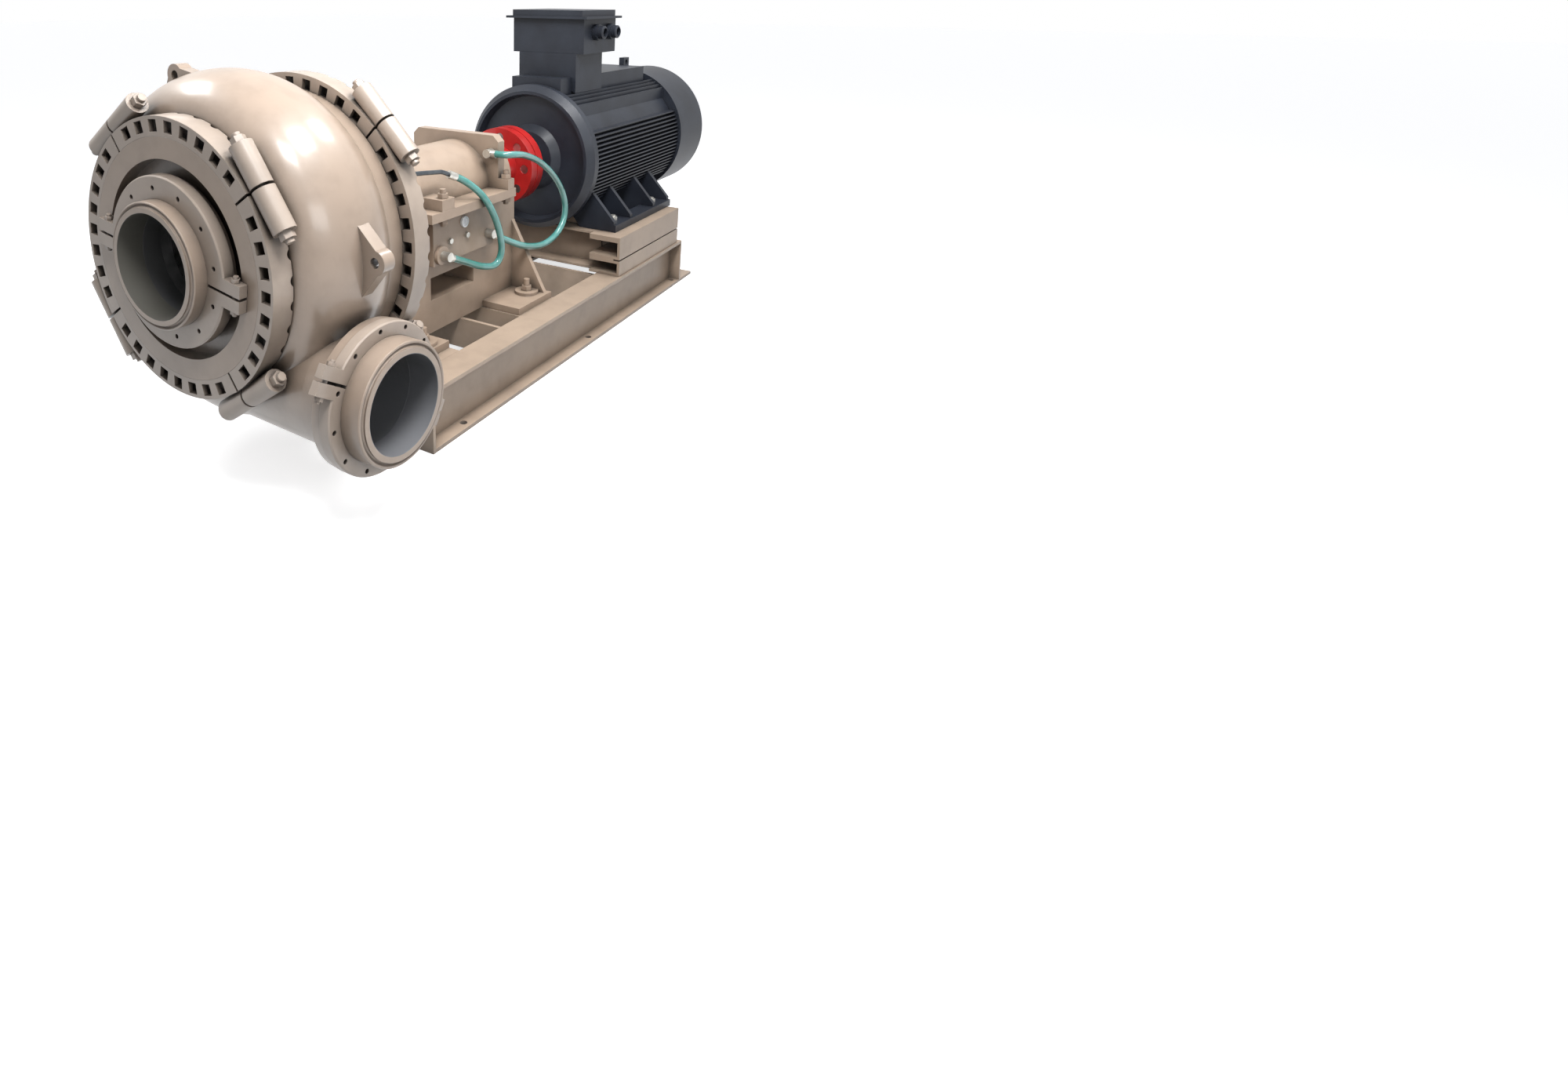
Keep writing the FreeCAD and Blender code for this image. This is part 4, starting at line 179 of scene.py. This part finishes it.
# --- The floor and the light: a pale studio floor, a soft sky and three large soft lamps above.
floor_mesh = bpy.data.meshes.new("studio_floor")
floor_mesh.from_pydata([(-40, -40, 0), (40, -40, 0), (40, 40, 0), (-40, 40, 0)], [], [(0, 1, 2, 3)])
floor = bpy.data.objects.new("studio_floor", floor_mesh)
bpy.context.scene.collection.objects.link(floor)
pale, tree, surface = shader("pale_floor", 0.9)
grain = ramp(tree, noise(tree, 6.0), (0.3, 0.80), (0.7, 0.83))
seen = add(tree, "LightPath")
direct = add(tree, "Math", {0: seen.outputs["Is Camera Ray"], 1: seen.outputs["Is Glossy Ray"]}, operation="MAXIMUM")
direct = add(tree, "Math", {0: direct.outputs[0], 1: seen.outputs["Is Transmission Ray"]}, operation="MAXIMUM")
tree.links.new(blend_colour(tree, direct.outputs[0], (0.10, 0.10, 0.10), grain), surface.inputs["Base Color"])
glow = add(tree, "Math", {0: direct.outputs[0], 1: 0.72}, operation="MULTIPLY")
surface.inputs["Emission Color"].default_value = (1, 1, 1, 1)
tree.links.new(glow.outputs[0], surface.inputs["Emission Strength"])
floor_mesh.materials.append(pale)

world = bpy.data.worlds.new("studio_sky")
bpy.context.scene.world = world
world.use_nodes = True
tree = world.node_tree
sky = tree.nodes["Background"]
seen = add(tree, "LightPath")
direct = add(tree, "Math", {0: seen.outputs["Is Camera Ray"], 1: seen.outputs["Is Glossy Ray"]}, operation="MAXIMUM")
direct = add(tree, "Math", {0: direct.outputs[0], 1: seen.outputs["Is Transmission Ray"]}, operation="MAXIMUM")
shade = blend_colour(tree, direct.outputs[0], (0.24, 0.25, 0.27), (1.0, 1.0, 1.0))
tree.links.new(shade, sky.inputs["Color"])


def lamp(name, place, target, width, depth, power):
    """A soft rectangular lamp that faces its target."""
    light = bpy.data.lights.new(name, "AREA")
    light.shape, light.size, light.size_y, light.energy = "RECTANGLE", width, depth, power
    piece = bpy.data.objects.new(name, light)
    bpy.context.scene.collection.objects.link(piece)
    piece.location = place
    piece.rotation_euler = (Vector(place) - Vector(target)).to_track_quat("Z", "Y").to_euler()
    return piece


lamp("roof_lamp_front", (1.5, -2.3, 3.4), (0, -1.2, 0.9), 1.0, 0.7, 75)
lamp("roof_lamp_middle", (1.3, -0.9, 3.3), (0, -1.0, 0.9), 1.0, 0.7, 75)
lamp("roof_lamp_rear", (0.9, 1.0, 3.6), (0, 0.8, 0.8), 1.2, 0.8, 60)
lamp("roof_lamp_left", (-2.4, -1.6, 3.2), (0, -1.0, 0.9), 1.4, 0.9, 55)
lamp("side_lamp", (4.4, -2.6, 2.2), (0, -0.6, 0.5), 2.4, 1.2, 55)

# --- The pump's paint: sand-coloured enamel brushed over rough castings and rolled steel, glossy on
# the casing, with painted shade darkening it in recesses and where faces stand close together.
def painted_recess_shade(tree, reach, dark, open_air=0.8):
    """Painted shade: 1 on open faces, falling to dark where faces stand close together within the reach."""
    near = add(tree, "AmbientOcclusion", {"Distance": reach}, samples=4)
    return ramp(tree, near.outputs["AO"], (0.15, dark), (open_air, 1.0))


def within_bore(tree, centre, across, bore):
    """1 outside a round passage's radius about its axis, 0 inside it."""
    place = add(tree, "TexCoord")
    moved = add(tree, "VectorMath", {0: place.outputs["Object"], 1: centre}, operation="SUBTRACT")
    flat = add(tree, "VectorMath", {0: moved.outputs[0], 1: across}, operation="MULTIPLY")
    distance = add(tree, "VectorMath", {0: flat.outputs[0]}, operation="LENGTH")
    return add(tree, "Math", {0: distance.outputs["Value"], 1: bore}, operation="GREATER_THAN").outputs[0]


def darkened(tree, colour, factor):
    """The colour times a grey factor."""
    made = add(tree, "Mix", data_type="RGBA", blend_type="MULTIPLY")
    made.inputs[0].default_value = 1.0
    tree.links.new(colour, made.inputs[6])
    tree.links.new(factor, made.inputs[7])
    return made.outputs[2]


def sand_enamel(name, tone, roughness, cast, gloss, passage=None, iron=(0.1, 0.1, 0.1)):
    """Enamel whose colour drifts a little, over a casting whose roughness is cast.
    A passage (centre, across, radius) is bare iron inside."""
    material, tree, surface = shader(name, roughness)
    light = tuple(min(1.0, c * 1.06) for c in tone)
    dark = tuple(c * 0.88 for c in tone)
    colour = ramp(tree, noise(tree, 2.6), (0.3, dark), (0.7, light))
    scuff = ramp(tree, noise(tree, 16.0, 5.0), (0.30, 0.90), (0.55, 1.0))
    colour = darkened(tree, colour, scuff)
    # painted shade: the enamel darkens in recesses, windows and between close faces
    colour = darkened(tree, colour, painted_recess_shade(tree, 0.07, 0.05, 0.85))
    if passage:
        colour = blend_colour(tree, within_bore(tree, *passage), iron, colour)
    tree.links.new(colour, surface.inputs["Base Color"])
    surface.inputs["Coat Weight"].default_value = gloss
    surface.inputs["Coat Roughness"].default_value = 0.16
    soft = add(tree, "Bevel", {"Radius": 0.0025}, samples=4)
    made = bump(tree, surface, noise(tree, 70.0, 4.0), cast, 0.0012)
    tree.links.new(soft.outputs[0], made.inputs["Normal"])
    return material


sand = (0.355, 0.275, 0.215)
casing_enamel = sand_enamel("casing_enamel", sand, 0.36, 0.10, 0.5, ((0, -1.402, 0.356), (0, 1, 1), 0.1412),
                            (0.135, 0.138, 0.146))
cover_enamel = sand_enamel("cover_enamel", sand, 0.42, 0.16, 0.25, ((0, 0, shaft_height), (1, 0, 1), 0.1505))
ring_enamel = sand_enamel("ring_enamel", (0.385, 0.315, 0.260), 0.42, 0.18, 0.3)
pedestal_enamel = sand_enamel("pedestal_enamel", (0.36, 0.272, 0.205), 0.48, 0.20, 0.15)
skid_enamel = sand_enamel("skid_enamel", (0.39, 0.300, 0.228), 0.5, 0.05, 0.12)
wear(["volute_casing"], casing_enamel)
wear(["front_cover", "rear_cover"], cover_enamel)
wear(["front_clamp_ring", "rear_clamp_ring", "suction_joint_ring", "discharge_joint_ring", "front_clamp_bolts",
      "rear_clamp_bolts", "split_ring_bolts"], ring_enamel)
wear(["pedestal", "bearing_housing", "front_bearing_cover", "rear_bearing_cover", "oil_chest", "stuffing_box",
      "gland", "cap_screws", "foot_studs", "flange_bolts", "housing_clamp_bolts", "gland_studs"], pedestal_enamel)
wear(["right_beam", "left_beam", "cross_members", "motor_base"], skid_enamel)


# --- The two short pipes: painted outside, bare iron in their bores.
wear(["suction_pipe"], sand_enamel("suction_finish", sand, 0.42, 0.14, 0.3,
                                   ((0, 0, shaft_height), (1, 0, 1), 0.1505), (0.12, 0.115, 0.10)))
wear(["discharge_pipe"], sand_enamel("discharge_finish", sand, 0.42, 0.10, 0.3,
                                     ((0, -1.402, 0.356), (0, 1, 1), 0.1412), (0.155, 0.158, 0.168)))

# --- Hard white iron of the parts that the slurry wears: throat bush and impeller.
iron, tree, surface = shader("white_iron", 0.45, 0.7)
tree.links.new(ramp(tree, noise(tree, 18.0), (0.3, 0.18), (0.7, 0.30)), surface.inputs["Base Color"])
bump(tree, surface, noise(tree, 90.0, 4.0), 0.3, 0.001)
wear(["throat_bush", "impeller"], iron)

# --- Machined steel: shafts, sleeve, races, pins; zinc-plated fittings and the seal-water pipe.
steel, tree, surface = shader("turned_steel", 0.3, 1.0)
tree.links.new(ramp(tree, noise(tree, 30.0, 3.0, (1, 12, 1)), (0.3, 0.42), (0.7, 0.58)), surface.inputs["Base Color"])
wear(["pump_shaft", "shaft_sleeve", "bearing_inner_rings", "bearing_outer_rings", "coupling_pins", "motor_shaft",
      "motor_bearing_inner_rings", "motor_bearing_outer_rings"], steel)
zinc, tree, surface = shader("dull_zinc", 0.42, 0.9)
tree.links.new(ramp(tree, noise(tree, 45.0), (0.3, (0.42, 0.41, 0.38)), (0.7, (0.60, 0.59, 0.55))), surface.inputs["Base Color"])
wear(["hose_fittings", "chest_plugs", "motor_bolts"], zinc)
dark_pipe, tree, surface = shader("dark_pipe", 0.4, 0.6)
tree.links.new(ramp(tree, noise(tree, 30.0), (0.3, (0.05, 0.06, 0.07)), (0.7, (0.10, 0.11, 0.12))), surface.inputs["Base Color"])
wear(["seal_water_pipe"], dark_pipe)

# --- The soft packing, the bronze lantern ring and the sight glass.
plait, tree, surface = shader("greased_plait", 0.8)
tree.links.new(ramp(tree, noise(tree, 120.0), (0.35, (0.20, 0.17, 0.12)), (0.65, (0.42, 0.37, 0.28))), surface.inputs["Base Color"])
wear(["gland_packing"], plait)
bronze, tree, surface = shader("bronze", 0.35, 1.0)
tree.links.new(ramp(tree, noise(tree, 20.0), (0.3, (0.45, 0.30, 0.13)), (0.7, (0.60, 0.42, 0.20))), surface.inputs["Base Color"])
wear(["lantern_ring"], bronze)
level_glass, tree, surface = shader("level_glass", 0.08)
tree.links.new(ramp(tree, noise(tree, 14.0), (0.3, (0.72, 0.76, 0.80)), (0.7, (0.86, 0.88, 0.90))), surface.inputs["Base Color"])
surface.inputs["Coat Weight"].default_value = 1.0
wear(["sight_glass"], level_glass)

# --- The coupling: two red flanged halves with steel pins between them.
red, tree, surface = shader("red_enamel", 0.3)
tree.links.new(ramp(tree, noise(tree, 9.0), (0.3, (0.33, 0.012, 0.012)), (0.7, (0.50, 0.02, 0.018))), surface.inputs["Base Color"])
surface.inputs["Coat Weight"].default_value = 0.4
bump(tree, surface, noise(tree, 80.0), 0.1, 0.001)
wear(["pump_coupling_half", "motor_coupling_half"], red)

# --- The motor: blue-black textured enamel over cast iron, a pressed fan cowl, and a plastic fan.
slate, tree, surface = shader("slate_enamel", 0.5)
colour = ramp(tree, noise(tree, 7.0), (0.3, (0.008, 0.010, 0.016)), (0.7, (0.018, 0.022, 0.032)))
# painted shade: the motor's enamel darkens in recesses between close faces
tree.links.new(darkened(tree, colour, painted_recess_shade(tree, 0.03, 0.35)), surface.inputs["Base Color"])
surface.inputs["Specular IOR Level"].default_value = 0.35
surface.inputs["Coat Weight"].default_value = 0.12
surface.inputs["Coat Roughness"].default_value = 0.3
bump(tree, surface, noise(tree, 160.0, 4.0), 0.12, 0.001)
wear(["motor_frame", "drive_end_shield", "fan_end_shield", "terminal_turret", "terminal_box", "terminal_lid",
      "cable_glands", "fan_cowl"], slate)
core, tree, surface = shader("laminated_core", 0.5, 0.6)
tree.links.new(ramp(tree, noise(tree, 60.0, 3.0, (1, 30, 1)), (0.3, 0.10), (0.7, 0.2)), surface.inputs["Base Color"])
wear(["stator_core", "rotor_core"], core)
moulded, tree, surface = shader("moulded_fan", 0.55)
tree.links.new(ramp(tree, noise(tree, 25.0), (0.3, 0.02), (0.7, 0.035)), surface.inputs["Base Color"])
wear(["cooling_fan"], moulded)
